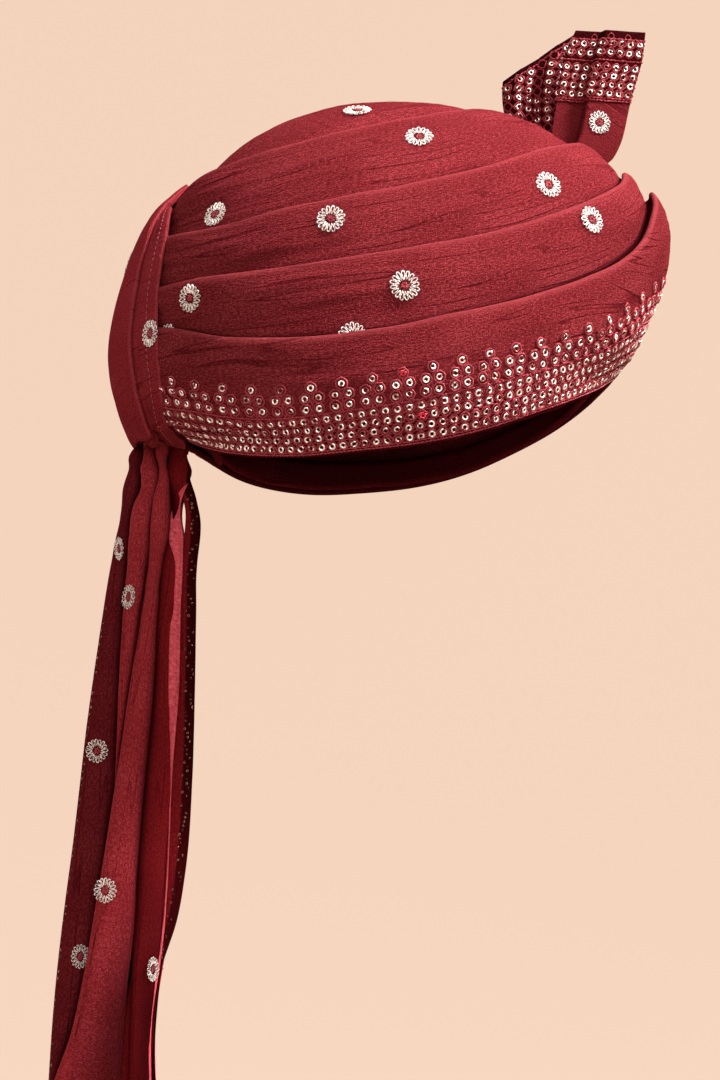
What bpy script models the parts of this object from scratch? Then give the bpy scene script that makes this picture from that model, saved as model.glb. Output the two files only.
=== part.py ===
"""A tied turban (pagri) with an embroidered border, a fan at its crown and a hanging tail.

Frame: +Z up, the wearer's face looks along -Y, the wearer's right is -X, and the origin is the
middle of the opening that a head goes into, level with the lowest point of the rim.
The crown is a smooth dome drawn in two angles: a bearing round the vertical axis (0 at the front,
180 at the back) and a latitude (0 at the widest level, 90 at the top). Each pleat is a wall on that
dome, tucked at its lower edge under the folded top edge of the pleat below.
"""
import math

import bmesh
import bpy
import numpy as np

MM = 0.001
GAP = 0.4                    # clear space kept between neighbouring cloth walls, in mm

# The dome, in mm. Reaches are divided by the cosine of the latitude, so a sphere has one value.
TOP_HEIGHT = 173.5
WIDEST_HEIGHT = 40.0
HALF_WIDTH = 98.0
RIM_TUCK_IN = 13.0           # how far the sides draw in from the widest level down to the rim
PLAN_SQUARENESS = 2.15       # 2 is an ellipse
FRONT_REACH = [(-18, 86), (-6, 93), (0, 99), (4, 106), (8, 113.5), (13, 120.5), (19, 129), (26, 140),
               (33, 150.5), (39, 158), (46, 161), (57, 164), (70, 164), (80, 156), (90, 148)]
BACK_REACH = [(-18, 88), (-11, 93.5), (-8.5, 104), (-5, 112), (0, 117.5), (5, 120.5), (12, 121.8),
              (22, 123), (36, 125), (60, 125), (90, 125)]

# Heights of the pleat lines, as (bearing in degrees, height in mm), the same on both sides.
RIM_LINE = [(0, 42), (21, 32), (35, 24.5), (48, 18), (62, 11), (82, 4.8), (98, 2.6), (115, 1.3),
            (132, 3), (149, 7.3), (161, 12), (170, 17), (180, 19)]
BORDER_LINE = [(0, 128.5), (9, 126.5), (16, 115), (22, 101), (30, 89), (40, 79.5), (56, 68.3),
               (75, 59), (95, 52), (115, 49.6), (131, 51.7), (145, 58), (180, 63)]
LOWER_LINE = [(0, 139), (12, 136), (24, 125.6), (39, 112), (56, 100), (71, 93), (93, 86), (120, 80),
              (152, 79), (180, 80)]
MIDDLE_LINE = [(0, 151.5), (15, 149.5), (24, 146), (45, 136.3), (57, 129.5), (73, 122.5), (86, 117.4),
               (102, 113), (117, 108.5), (138, 102.5), (156, 103), (180, 106)]
UPPER_LINE = [(0, 167.5), (25, 165), (48, 161.3), (67, 157.4), (87, 152.6), (102, 149), (125, 141.5),
              (143, 136.5), (158, 133.8), (180, 131)]
STITCH_RISE = [(0, 3), (35, 4), (55, 3), (75, 1.2), (90, 0.6), (180, 0.6)]  # border edge over the rim

# Pleat walls, in mm.
PLEAT_WALL = 1.8
FOLD_PROUD = 0.8             # a folded top edge stands this far out of the dome
BORDER_FRONT_PROUD = 2.2     # more, where the border wrap's fold rises over the forehead
TUCK_DEPTH = 2.2             # a tucked lower edge lies this far inside the dome
TUCK_LENGTH = 6.0            # height of the strip that hides under the next pleat
BEARINGS = 44                # sections round the dome

# The rolled hem under the border, as (height over the rim line, distance out of the dome).
HEM_OUTSIDE = [(9.0, -2.9), (3.6, -2.8), (0.4, -2.7), (-0.9, -4.1), (1.0, -6.4), (14.0, -7.0)]
HEM_INSIDE = [(14.0, -5.4), (2.4, -4.9), (1.2, -4.2), (2.6, -4.3), (9.0, -4.5)]

# The cover strip down the back: (height, half width, distance out of the dome at its middle).
BAND_ROWS = [(133, 6, 3.2), (127, 15, 4.2), (119, 26, 5.8), (107, 40, 6.3), (92, 48, 6.2), (77, 53, 6.2),
             (62, 57, 6.8), (50, 58.5, 6.8), (39, 57, 7.4), (30, 52, 8.6), (23, 42, 11.5)]
BAND_EDGE_PROUD = 3.1
BAND_WALL = 1.4
BAND_COLUMNS = 13
BAND_NECK_ROWS = 3
NECK_HEIGHT = 12.5           # the strip and the tail are drawn together here
NECK_HALF_WIDTH = 12.5
NECK_BACK = 114.5
NECK_FRONT = 93.0
RIM_CLEARANCE = 2.4          # the strip stays this far out of the dome down to just under the rim

# The tail's sheets. Edges are (height, Y); depth and bulge are at the neck and at the lower hem.
TAIL_HEM = -298.0
SHEET_WALL = 1.2
TAIL_ROWS = 13
TAIL_COLUMNS = 5
BACK_FOLD = [(11.1, 112), (8, 118), (-6, 121), (-40, 126.3), (-90, 134), (-160, 142), (-230, 150), (-298, 154)]
BACK_FOLD_LEGS = (9.0, 30.0)
INNER_FOLD = [(11.1, 93.5), (1, 92), (-6, 89), (-50, 88), (-96, 88.3), (-138, 89.4), (-178, 92.2),
              (-201, 96), (-222, 102.5), (-250, 106), (-298, 108)]
INNER_FOLD_LEGS = (7.0, 14.0)
BACK_FOLD_DEPTHS = (3.0, 11.6)
INNER_FOLD_DEPTHS = (3.0, 9.2)
OUTER_PLEAT = {
    "back": [(11.1, 111.5), (0, 111.8), (-11, 115), (-36, 118), (-72, 120.5), (-107, 122), (-160, 124),
             (-230, 130), (-298, 136)],
    "front": [(11.1, 106.5), (-3, 106.5), (-24, 108), (-56, 110.5), (-84, 112), (-160, 114), (-298, 122)],
    "depth": (4.8, 13.2), "bulge": (1.4, 3.4)}
FRONT_PLEAT = {
    "back": [(11.1, 105.8), (-2.5, 104.2), (-8, 105.7), (-36, 108.4), (-72, 112.6), (-104, 117.4),
             (-144, 123.4), (-189, 129.5), (-226, 135.6), (-252, 141.7), (-269, 147.5), (-298, 153)],
    "front": [(11.1, 100), (6, 101.6), (-3, 100), (-24, 99.5), (-34, 102), (-64, 105), (-92, 106),
              (-138, 109.5), (-172, 112), (-206, 113.8), (-244, 118.5), (-298, 123)],
    "depth": (8.0, 18.4), "bulge": (2.0, 5.6)}
INNER_PLEAT = {
    "back": [(11.1, 99.6), (-24, 102), (-60, 107), (-107, 110.5), (-160, 111.5), (-212, 114), (-298, 117)],
    "front": [(11.1, 93), (4, 91.4), (-11, 95.6), (-31, 98.9), (-37, 97.4), (-76, 99), (-149, 98),
              (-172, 100), (-208, 102), (-239, 105.5), (-257, 106.7), (-298, 105)],
    "depth": (4.8, 11.0), "bulge": (1.4, 3.4)}

# The fan's two panels: side edges from base to top as (Y, Z) in mm, and the X of each pleat.
FAN_WALL = 1.2
FAN_ROWS = 9
FAN_BASE_LIFT = 1.2
FAN_FRONT = {
    "back": [(-76.5, 161), (-77, 166), (-79.3, 180), (-80.8, 190), (-83.2, 200.5), (-88, 211)],
    "front": [(-101.5, 147), (-105.5, 151), (-109.5, 160), (-112.9, 175), (-116, 186), (-119, 197), (-120.6, 210)],
    "depth": [5.5, -0.5, 4.5, -2.5, 3.0]}
FAN_BACK = {
    "back": [(-56.8, 170.5), (-55, 177), (-54.4, 184), (-54.6, 190)],
    "front": [(-82, 162), (-82, 176), (-84, 196), (-89, 212.6)],
    "depth": [17.0, 10.5, 16.0, 9.5, 13.0]}

CLOTH = (0.235, 0.030, 0.042)
CLOTH_DEEP = (0.150, 0.018, 0.027)
CLOTH_BRIGHT = (0.330, 0.045, 0.062)


def smooth(knots, at, flat_ends=False):
    """Values of a smooth curve through (place, value) knots, at one place or many."""
    places = np.array([k[0] for k in knots], float)
    values = np.array([k[1] for k in knots], float)
    order = np.argsort(places)
    places, values = places[order], values[order]
    slopes = np.gradient(values, places)
    if flat_ends:
        slopes[0] = slopes[-1] = 0.0
    at = np.clip(at, places[0], places[-1])
    i = np.clip(np.searchsorted(places, at) - 1, 0, len(places) - 2)
    step = places[i + 1] - places[i]
    t = (at - places[i]) / step
    return ((2 * t**3 - 3 * t**2 + 1) * values[i] + (t**3 - 2 * t**2 + t) * step * slopes[i]
            + (3 * t**2 - 2 * t**3) * values[i + 1] + (t**3 - t**2) * step * slopes[i + 1])


def latitude(height):
    """Latitude in radians of a height on the dome."""
    return math.asin(min(1.0, (height - WIDEST_HEIGHT) / (TOP_HEIGHT - WIDEST_HEIGHT)))


def dome_point(bearing, lat):
    """A point of the dome in mm. The bearing is in degrees, towards the wearer's right."""
    height = WIDEST_HEIGHT + (TOP_HEIGHT - WIDEST_HEIGHT) * math.sin(lat)
    turn = math.radians(bearing)
    knots = FRONT_REACH if math.cos(turn) > 0 else BACK_REACH
    reach = float(smooth(knots, math.degrees(lat))) * math.cos(lat)
    width = HALF_WIDTH * math.cos(lat)
    if lat < 0:
        width = HALF_WIDTH - RIM_TUCK_IN * ((WIDEST_HEIGHT - height) / WIDEST_HEIGHT) ** 2
    n = PLAN_SQUARENESS
    across = abs(math.sin(turn)) / max(width, 1e-6)
    along = abs(math.cos(turn)) / max(reach, 1e-6)
    radius = (across**n + along**n) ** (-1.0 / n)
    return np.array([-radius * math.sin(turn), -radius * math.cos(turn), height])


def on_dome(bearing, lat, out=0.0):
    """A point at a distance out of the dome, measured square to it."""
    here = dome_point(bearing, lat)
    small = 0.01
    round_it = dome_point(bearing + 0.5, lat) - dome_point(bearing - 0.5, lat)
    up_it = dome_point(bearing, min(lat + small, 1.56)) - dome_point(bearing, lat - small)
    square = np.cross(up_it, round_it)
    return here + square / np.linalg.norm(square) * out


def line_height(line, bearing):
    """Height of a pleat line at a bearing, the same on both sides of the head."""
    return float(smooth(line, abs((bearing + 180) % 360 - 180), flat_ends=True))


def make_object(name, points, faces, material):
    """One closed, outward-facing mesh object from points in mm."""
    mesh = bpy.data.meshes.new(name)
    bm = bmesh.new()
    verts = [bm.verts.new(tuple(np.asarray(p) * MM)) for p in points]
    for face in faces:
        bm.faces.new([verts[i] for i in face])
    bmesh.ops.recalc_face_normals(bm, faces=bm.faces)
    if bm.calc_volume(signed=True) < 0:
        bmesh.ops.reverse_faces(bm, faces=bm.faces)
    bm.to_mesh(mesh)
    bm.free()
    mesh.shade_smooth()
    mesh.materials.append(material)
    thing = bpy.data.objects.new(name, mesh)
    bpy.context.scene.collection.objects.link(thing)
    return thing


def ring_solid(name, sections, material):
    """A closed ring from equal sections, each a closed loop of points."""
    count, size = len(sections), len(sections[0])
    points = [p for section in sections for p in section]
    faces = []
    for i in range(count):
        j = (i + 1) % count
        for a in range(size):
            b = (a + 1) % size
            faces.append((i * size + a, i * size + b, j * size + b, j * size + a))
    return make_object(name, points, faces, material)


def sheet_solid(name, grid, wall, material):
    """A wall of one thickness whose middle surface is a grid of points."""
    grid = np.asarray(grid, float)
    down = np.gradient(grid, axis=0)
    across = np.gradient(grid, axis=1)
    square = np.cross(down, across)
    square /= np.linalg.norm(square, axis=2, keepdims=True)
    rows, columns = grid.shape[:2]
    size = rows * columns
    points = np.concatenate([(grid + square * wall / 2).reshape(-1, 3), (grid - square * wall / 2).reshape(-1, 3)])
    faces = []
    for r in range(rows - 1):
        for c in range(columns - 1):
            a = r * columns + c
            quad = (a, a + 1, a + columns + 1, a + columns)
            faces.append(quad)
            faces.append(tuple(size + i for i in reversed(quad)))
    rim = [c for c in range(columns)]
    rim += [r * columns + columns - 1 for r in range(1, rows)]
    rim += [(rows - 1) * columns + c for c in range(columns - 2, -1, -1)]
    rim += [r * columns for r in range(rows - 2, 0, -1)]
    for a, b in zip(rim, rim[1:] + rim[:1]):
        faces.append((b, a, size + a, size + b))
    return make_object(name, points, faces, material)


def bearings():
    return [360.0 * i / BEARINGS for i in range(BEARINGS)]


def pleat(name, top_line, low_line, low_rise, tuck, material, rows=4, front_proud=0.0):
    """A cloth wall round the dome from a folded top edge down to its lower edge."""
    sections = []
    for bearing in bearings():
        top = latitude(line_height(top_line, bearing))
        low = latitude(line_height(low_line, bearing) + line_height(low_rise, bearing))
        out = FOLD_PROUD + front_proud * max(0.0, math.cos(math.radians(bearing))) ** 6
        end = -TUCK_DEPTH if tuck else 0.0
        outside, inside = [], []
        for k in range(rows):
            t = k / (rows - 1)
            lat = top + (low - top) * t
            ease = t * t * (3 - 2 * t)
            outside.append(on_dome(bearing, lat, out + (end - out) * ease))
            inside.append(on_dome(bearing, lat, out + (end - out) * ease - PLEAT_WALL))
        if tuck:
            shorten = 1.0 - 0.6 * max(0.0, math.cos(math.radians(bearing))) ** 4
            hidden = latitude(line_height(low_line, bearing) - tuck * shorten)
            outside.append(on_dome(bearing, hidden, end - GAP))
            inside.append(on_dome(bearing, hidden, end - GAP - PLEAT_WALL))
        sections.append(outside + inside[::-1])
    return ring_solid(name, sections, material)


def crown_cap(material):
    """The plain top of the dome, tucked all round under the highest pleat."""
    shrink = [1.0, 0.9, 0.68, 0.42, 0.17]        # rows between the pleat line and the very top
    sink = [TUCK_DEPTH, TUCK_DEPTH * 0.5, 0.0, 0.0, 0.0]
    points, faces = [], []
    for wall in (0.0, PLEAT_WALL):
        for b in bearings():
            hidden = latitude(line_height(UPPER_LINE, b) - TUCK_LENGTH)
            points.append(on_dome(b, hidden, -TUCK_DEPTH - GAP - wall))
        for scale, depth in zip(shrink, sink):
            for b in bearings():
                from_top = math.pi / 2 - latitude(line_height(UPPER_LINE, b))
                points.append(on_dome(b, math.pi / 2 - from_top * scale, -depth - wall))
        points.append(np.array([0.0, 0.0, TOP_HEIGHT - wall]))
    rows = len(shrink) + 1
    shell = rows * BEARINGS + 1
    for side in (0, 1):
        start = side * shell
        for r in range(rows - 1):
            for i in range(BEARINGS):
                j = (i + 1) % BEARINGS
                quad = [start + r * BEARINGS + i, start + r * BEARINGS + j,
                        start + (r + 1) * BEARINGS + j, start + (r + 1) * BEARINGS + i]
                faces.append(quad if side == 0 else quad[::-1])
        for i in range(BEARINGS):
            j = (i + 1) % BEARINGS
            tri = [start + (rows - 1) * BEARINGS + i, start + (rows - 1) * BEARINGS + j, start + shell - 1]
            faces.append(tri if side == 0 else tri[::-1])
    for i in range(BEARINGS):
        j = (i + 1) % BEARINGS
        faces.append([j, i, shell + i, shell + j])
    return make_object("crown_cap", points, faces, material)


def under_hem(material):
    """The plain hem rolled in under the border, all round the opening."""
    sections = []
    for bearing in bearings():
        rim = line_height(RIM_LINE, bearing)
        sections.append([on_dome(bearing, latitude(rim + rise), out) for rise, out in HEM_OUTSIDE + HEM_INSIDE])
    return ring_solid("under_hem", sections, material)


def bearing_for_width(half_width, lat):
    """The bearing, behind the head, at which the dome is this far from its middle plane."""
    low, high = 95.0, 180.0
    for _ in range(30):
        middle = (low + high) / 2
        if -dome_point(middle, lat)[0] > half_width:
            low = middle
        else:
            high = middle
    return (low + high) / 2


def clear_rim(point):
    """Moves a point straight out until it clears the border wrap, wherever that is at its height."""
    bearing = math.degrees(math.atan2(-point[0], -point[1]))
    if point[2] < line_height(RIM_LINE, bearing) - RIM_CLEARANCE:
        return
    needed = np.hypot(*dome_point(bearing, latitude(point[2]))[:2]) + RIM_CLEARANCE
    radius = np.hypot(*point[:2])
    if radius < needed:
        point[:2] *= needed / radius


def back_band(material):
    """The pleated strip that covers the pleats' ends and is drawn in at the nape."""
    spread = np.linspace(-1.0, 1.0, BAND_COLUMNS)
    grid = []
    for height, half_width, proud in BAND_ROWS:
        lat = latitude(height)
        reach = 180.0 - bearing_for_width(half_width, lat)
        row = []
        for u in spread:
            out = BAND_EDGE_PROUD + (proud - BAND_EDGE_PROUD) * (1 - u * u)
            row.append(on_dome(180.0 + reach * u, lat, out - BAND_WALL / 2))
        grid.append(row)
    neck = [np.array([NECK_HALF_WIDTH * math.sin(math.pi * u * 0.5) * (1.15 - 0.15 * abs(u)),
                      NECK_FRONT + (NECK_BACK - NECK_FRONT) * math.cos(math.pi * u * 0.5), NECK_HEIGHT])
            for u in spread]
    last = grid[-1]
    for k in range(1, BAND_NECK_ROWS + 1):
        t = k / BAND_NECK_ROWS
        ease = t * t * (3 - 2 * t)
        row = [(1 - ease) * a + ease * b for a, b in zip(last, neck)]
        for point, a in zip(row, last):
            point[2] = a[2] + (NECK_HEIGHT - a[2]) * t
            clear_rim(point)
        grid.append(row)
    return sheet_solid("back_band", grid, BAND_WALL, material)


def tail_heights():
    """Rows down the tail, closer together near the neck."""
    top = NECK_HEIGHT - 1.4
    return [top + (TAIL_HEM - top) * (k / (TAIL_ROWS - 1)) ** 1.5 for k in range(TAIL_ROWS)]


def down_tail(height, pair):
    """A value that grows from the neck to the lower hem."""
    t = (NECK_HEIGHT - height) / (NECK_HEIGHT - TAIL_HEM)
    return pair[0] + (pair[1] - pair[0]) * min(1.0, max(0.0, t)) ** 0.8


def tail_pleat(name, shape, side, material):
    """One hanging sheet on the wearer's right (side -1) or left (side 1) of the tail."""
    grid = []
    for height in tail_heights():
        back = float(smooth(shape["back"], height))
        front = float(smooth(shape["front"], height))
        depth, bulge = down_tail(height, shape["depth"]), down_tail(height, shape["bulge"])
        grid.append([np.array([side * (depth + bulge * math.sin(math.pi * t)), back + (front - back) * t, height])
                     for t in np.linspace(0.0, 1.0, TAIL_COLUMNS)])
    return sheet_solid(name, grid, SHEET_WALL, material)


def tail_fold(name, edge, legs, depths, towards, material):
    """A sheet folded lengthwise on the middle plane, its two legs side by side."""
    grid = []
    for height in tail_heights():
        fold = float(smooth(edge, height))
        depth, leg = down_tail(height, depths), down_tail(height, legs)
        row = []
        for u in np.linspace(-1.0, 1.0, 2 * TAIL_COLUMNS - 1):
            row.append(np.array([depth * math.sin(math.pi / 2 * max(-1.0, min(1.0, 1.8 * u))),
                                 fold + towards * leg * abs(u) ** 1.6, height]))
        grid.append(row)
    return sheet_solid(name, grid, SHEET_WALL, material)


def fan_panel(name, shape, material):
    """One pleated panel of the fan, standing on the dome near the front of its top."""
    depth_knots = [(k / (len(shape["depth"]) - 1), x) for k, x in enumerate(shape["depth"])]
    grid = []
    for t in np.linspace(0.0, 1.0, FAN_ROWS):
        sides = []
        for edge in (shape["back"], shape["front"]):
            along = [(k / (len(edge) - 1), point) for k, point in enumerate(edge)]
            sides.append(np.array([float(smooth([(a, p[axis]) for a, p in along], t)) for axis in (0, 1)]))
        row = []
        for u in np.linspace(0.0, 1.0, 4 * (len(shape["depth"]) - 1) // 2 + 1):
            y, z = sides[0] + (sides[1] - sides[0]) * u
            middle = np.mean(shape["depth"])
            x = middle + (float(smooth(depth_knots, u)) - middle) * (0.45 + 0.55 * t)
            floor = height_on_dome(y) + FAN_BASE_LIFT
            row.append(np.array([x, y, max(z, floor)]))
        grid.append(row)
    return sheet_solid(name, grid, FAN_WALL, material)


def height_on_dome(y):
    """Height of the dome's crest at a distance in front of or behind its top."""
    bearing = 0.0 if y < 0 else 180.0
    low, high = 0.6, math.pi / 2
    for _ in range(30):
        middle = (low + high) / 2
        if abs(dome_point(bearing, middle)[1]) > abs(y):
            low = middle
        else:
            high = middle
    return dome_point(bearing, (low + high) / 2)[2]


def make_material(name, color, roughness=0.75):
    material = bpy.data.materials.new(name)
    material.use_nodes = True
    shader = material.node_tree.nodes["Principled BSDF"]
    shader.inputs["Base Color"].default_value = (*color, 1.0)
    shader.inputs["Roughness"].default_value = roughness
    shader.inputs["Metallic"].default_value = 0.0
    return material


def main():
    for thing in list(bpy.data.objects):
        bpy.data.objects.remove(thing, do_unlink=True)
    level = [(0, 0), (180, 0)]
    crown_cap(make_material("crown_cloth", CLOTH))
    pleat("pleat_upper", UPPER_LINE, MIDDLE_LINE, level, TUCK_LENGTH, make_material("pleat_upper_cloth", CLOTH))
    pleat("pleat_middle", MIDDLE_LINE, LOWER_LINE, level, TUCK_LENGTH, make_material("pleat_middle_cloth", CLOTH))
    pleat("pleat_lower", LOWER_LINE, BORDER_LINE, level, TUCK_LENGTH, make_material("pleat_lower_cloth", CLOTH))
    pleat("border_wrap", BORDER_LINE, RIM_LINE, STITCH_RISE, 0.0, make_material("border_cloth", CLOTH_DEEP),
          rows=7, front_proud=BORDER_FRONT_PROUD)
    under_hem(make_material("hem_cloth", CLOTH_DEEP))
    back_band(make_material("band_cloth", CLOTH))
    tail_fold("tail_back_fold", BACK_FOLD, BACK_FOLD_LEGS, BACK_FOLD_DEPTHS, -1,
              make_material("tail_back_cloth", CLOTH_DEEP))
    tail_fold("tail_inner_fold", INNER_FOLD, INNER_FOLD_LEGS, INNER_FOLD_DEPTHS, 1,
              make_material("tail_inner_cloth", CLOTH_DEEP))
    for side, word in ((-1, "right"), (1, "left")):
        tail_pleat("tail_outer_pleat_" + word, OUTER_PLEAT, side, make_material("outer_pleat_" + word, CLOTH))
        tail_pleat("tail_front_pleat_" + word, FRONT_PLEAT, side, make_material("front_pleat_" + word, CLOTH_BRIGHT))
        tail_pleat("tail_inner_pleat_" + word, INNER_PLEAT, side, make_material("inner_pleat_" + word, CLOTH))
    fan_panel("fan_front_panel", FAN_FRONT, make_material("fan_front_cloth", CLOTH_DEEP))
    fan_panel("fan_back_panel", FAN_BACK, make_material("fan_back_cloth", CLOTH_DEEP))


main()
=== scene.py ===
# A tied turban: crepe pleats wound round a dome, a sequinned border, a fan at the crown, a hanging tail.
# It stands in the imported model's frame: metres, +Z up, the face looks along -Y, the right ear is at -X.
# Shapes are worked out in millimetres and turned into metres when their meshes are made.
import math
import random

import bpy
import numpy as np
from mathutils import Matrix, Vector, noise
from mathutils.bvhtree import BVHTree


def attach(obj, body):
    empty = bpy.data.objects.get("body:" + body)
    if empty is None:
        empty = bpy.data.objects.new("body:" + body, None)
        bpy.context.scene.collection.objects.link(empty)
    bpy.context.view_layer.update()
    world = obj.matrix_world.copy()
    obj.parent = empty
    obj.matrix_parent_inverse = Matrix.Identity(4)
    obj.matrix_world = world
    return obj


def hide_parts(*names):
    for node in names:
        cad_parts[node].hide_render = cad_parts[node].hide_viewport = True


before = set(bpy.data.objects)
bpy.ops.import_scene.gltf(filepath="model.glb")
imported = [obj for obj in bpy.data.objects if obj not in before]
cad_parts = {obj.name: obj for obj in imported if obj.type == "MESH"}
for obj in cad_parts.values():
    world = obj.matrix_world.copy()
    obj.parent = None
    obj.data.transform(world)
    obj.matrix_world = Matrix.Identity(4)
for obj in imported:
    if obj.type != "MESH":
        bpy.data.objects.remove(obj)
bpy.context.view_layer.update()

mm = 0.001
print("frame loaded:", len(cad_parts), "nodes")


# camera

camera = {"place": (-1.100, 0.0128, -0.1204), "pitch": 4.793, "lens": 80.3, "sensor": 36.0}

cameraData = bpy.data.cameras.new("camera")
cameraData.lens = camera["lens"]
cameraData.sensor_width = camera["sensor"]
cameraThing = bpy.data.objects.new("camera", cameraData)
cameraThing.location = camera["place"]
cameraThing.rotation_euler = (math.radians(90 + camera["pitch"]), 0, math.radians(-90))
bpy.context.scene.collection.objects.link(cameraThing)
bpy.context.scene.camera = cameraThing


# the dome that the pleats lie on

dome = {
    "top": 173.5, "widest": 40.0, "halfWidth": 98.0, "rimTuckIn": 13.0, "squareness": 2.15,
    # (latitude in degrees, reach divided by the cosine of the latitude)
    "frontReach": [(-18, 86), (-6, 93), (0, 99), (4, 106), (8, 113.5), (13, 120.5), (19, 129), (26, 140),
                   (33, 150.5), (39, 158), (46, 161), (57, 164), (70, 164), (80, 156), (90, 148)],
    "backReach": [(-18, 88), (-11, 93.5), (-8.5, 104), (-5, 112), (0, 117.5), (5, 120.5), (12, 121.8),
                  (22, 123), (36, 125), (60, 125), (90, 125)],
}

# heights of the pleat lines, as (bearing from the front in degrees, height), the same on both sides
lines = {
    "rim": [(0, 42), (21, 32), (35, 24.5), (48, 18), (62, 11), (82, 4.8), (98, 2.6), (115, 1.3),
            (132, 3), (149, 7.3), (161, 12), (170, 17), (180, 19)],
    "border": [(0, 128.5), (9, 126.5), (16, 115), (22, 101), (30, 89), (40, 79.5), (56, 68.3),
               (75, 59), (95, 52), (115, 49.6), (131, 51.7), (145, 58), (180, 63)],
    "lower": [(0, 139), (12, 136), (24, 125.6), (39, 112), (56, 100), (71, 93), (93, 86), (120, 80),
              (152, 79), (180, 80)],
    "middle": [(0, 151.5), (15, 149.5), (24, 146), (45, 136.3), (57, 129.5), (73, 122.5), (86, 117.4),
               (102, 113), (117, 108.5), (138, 102.5), (156, 103), (180, 106)],
    "upper": [(0, 167.5), (25, 165), (48, 161.3), (67, 157.4), (87, 152.6), (102, 149), (125, 141.5),
              (143, 136.5), (158, 133.8), (180, 131)],
    # where the tops of the border's little trees run
    "peak": [(0, 91), (15, 83.5), (21, 76.5), (31, 65), (44.6, 54.2), (67, 42.4), (97, 31.0), (118, 28.0),
             (135, 31.5), (148, 37), (180, 46)],
    "stitchRise": [(0, 3), (35, 4), (55, 3), (75, 1.2), (90, 0.6), (180, 0.6)],
    "level": [(0, 0), (180, 0)],
}


def smooth(knots, at, flatEnds=False):
    # a smooth curve through (place, value) knots, held level past both ends
    places, values = np.array(sorted(knots), float).T
    slopes = np.gradient(values, places)
    if flatEnds:
        slopes[0] = slopes[-1] = 0.0
    at = np.clip(at, places[0], places[-1])
    i = np.clip(np.searchsorted(places, at) - 1, 0, len(places) - 2)
    step = places[i + 1] - places[i]
    t = (at - places[i]) / step
    return ((2 * t**3 - 3 * t**2 + 1) * values[i] + (t**3 - 2 * t**2 + t) * step * slopes[i]
            + (3 * t**2 - 2 * t**3) * values[i + 1] + (t**3 - t**2) * step * slopes[i + 1])


def easeStep(low, high, at):
    t = np.clip((np.asarray(at, float) - low) / (high - low), 0, 1)
    return t * t * (3 - 2 * t)


def lineHeight(line, bearing):
    folded = np.abs((np.asarray(bearing, float) + 180) % 360 - 180)
    return smooth(lines[line], folded, flatEnds=True)


def latitude(height):
    return np.arcsin(np.clip((height - dome["widest"]) / (dome["top"] - dome["widest"]), -1, 1))


def domePoint(bearing, lat):
    bearing, lat = np.broadcast_arrays(np.asarray(bearing, float), np.asarray(lat, float))
    height = dome["widest"] + (dome["top"] - dome["widest"]) * np.sin(lat)
    turn = np.radians(bearing)
    degrees = np.degrees(lat)
    frontReach, backReach = smooth(dome["frontReach"], degrees), smooth(dome["backReach"], degrees)
    reach = np.where(np.cos(turn) > 0, frontReach, backReach)
    belowWidest = dome["halfWidth"] - dome["rimTuckIn"] * ((dome["widest"] - height) / dome["widest"]) ** 2
    width = np.where(lat < 0, belowWidest, dome["halfWidth"] * np.cos(lat))
    power = dome["squareness"]
    across = np.abs(np.sin(turn)) / np.maximum(width, 1e-6)
    along = np.abs(np.cos(turn)) / np.maximum(reach * np.cos(lat), 1e-6)
    radius = (across**power + along**power) ** (-1 / power)
    return np.stack([-radius * np.sin(turn), -radius * np.cos(turn), height], axis=-1)


def onDome(bearing, lat, out=0.0):
    # a point this far out of the dome, measured square to it
    here = domePoint(bearing, lat)
    around = domePoint(bearing + 0.5, lat) - domePoint(bearing - 0.5, lat)
    up = domePoint(bearing, np.minimum(lat + 0.01, 1.565)) - domePoint(bearing, lat - 0.01)
    square = np.cross(up, around)
    square /= np.linalg.norm(square, axis=-1, keepdims=True)
    return here + square * np.asarray(out, float)[..., None]


def mmPerRadian(bearing, lat):
    span = domePoint(bearing, lat + 0.01) - domePoint(bearing, lat - 0.01)
    return np.linalg.norm(span, axis=-1) / 0.02


def noiseField(places, scale, seed=0.0):
    flat = (np.asarray(places) / np.asarray(scale, float)).reshape(-1, 3)
    values = [noise.noise((x + seed, y - seed, z + 2 * seed)) for x, y, z in flat.tolist()]
    return np.array(values).reshape(places.shape[:-1])


# shader and geometry nodes

class Wire:
    # one output socket, so that sums and products can be written as plain expressions
    def __init__(self, maker, socket):
        self.maker = maker
        self.socket = socket

    def math(self, operation, *others):
        return self.maker.node("ShaderNodeMath", {"operation": operation}, [self, *others])[0]

    def __add__(self, other):
        return self.math("ADD", other)

    def __sub__(self, other):
        return self.math("SUBTRACT", other)

    def __rsub__(self, other):
        return self.maker.node("ShaderNodeMath", {"operation": "SUBTRACT"}, [other, self])[0]

    def __mul__(self, other):
        return self.math("MULTIPLY", other)

    def __truediv__(self, other):
        return self.math("DIVIDE", other)

    __radd__ = __add__
    __rmul__ = __mul__

    def between(self, low, high):
        settings = {"interpolation_type": "SMOOTHSTEP"}
        wires = {"Value": self, "From Min": low, "From Max": high}
        return self.maker.node("ShaderNodeMapRange", settings, wires)["Result"]


class Outlets:
    def __init__(self, maker, node):
        self.maker = maker
        self.node = node

    def __getitem__(self, name):
        return Wire(self.maker, findSocket(self.node.outputs, name))


def findSocket(sockets, name):
    if isinstance(name, int):
        return [s for s in sockets if s.enabled][name]
    for socket in sockets:
        if socket.identifier == name and socket.enabled:
            return socket
    return next(s for s in sockets if s.name == name and s.enabled)


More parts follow.
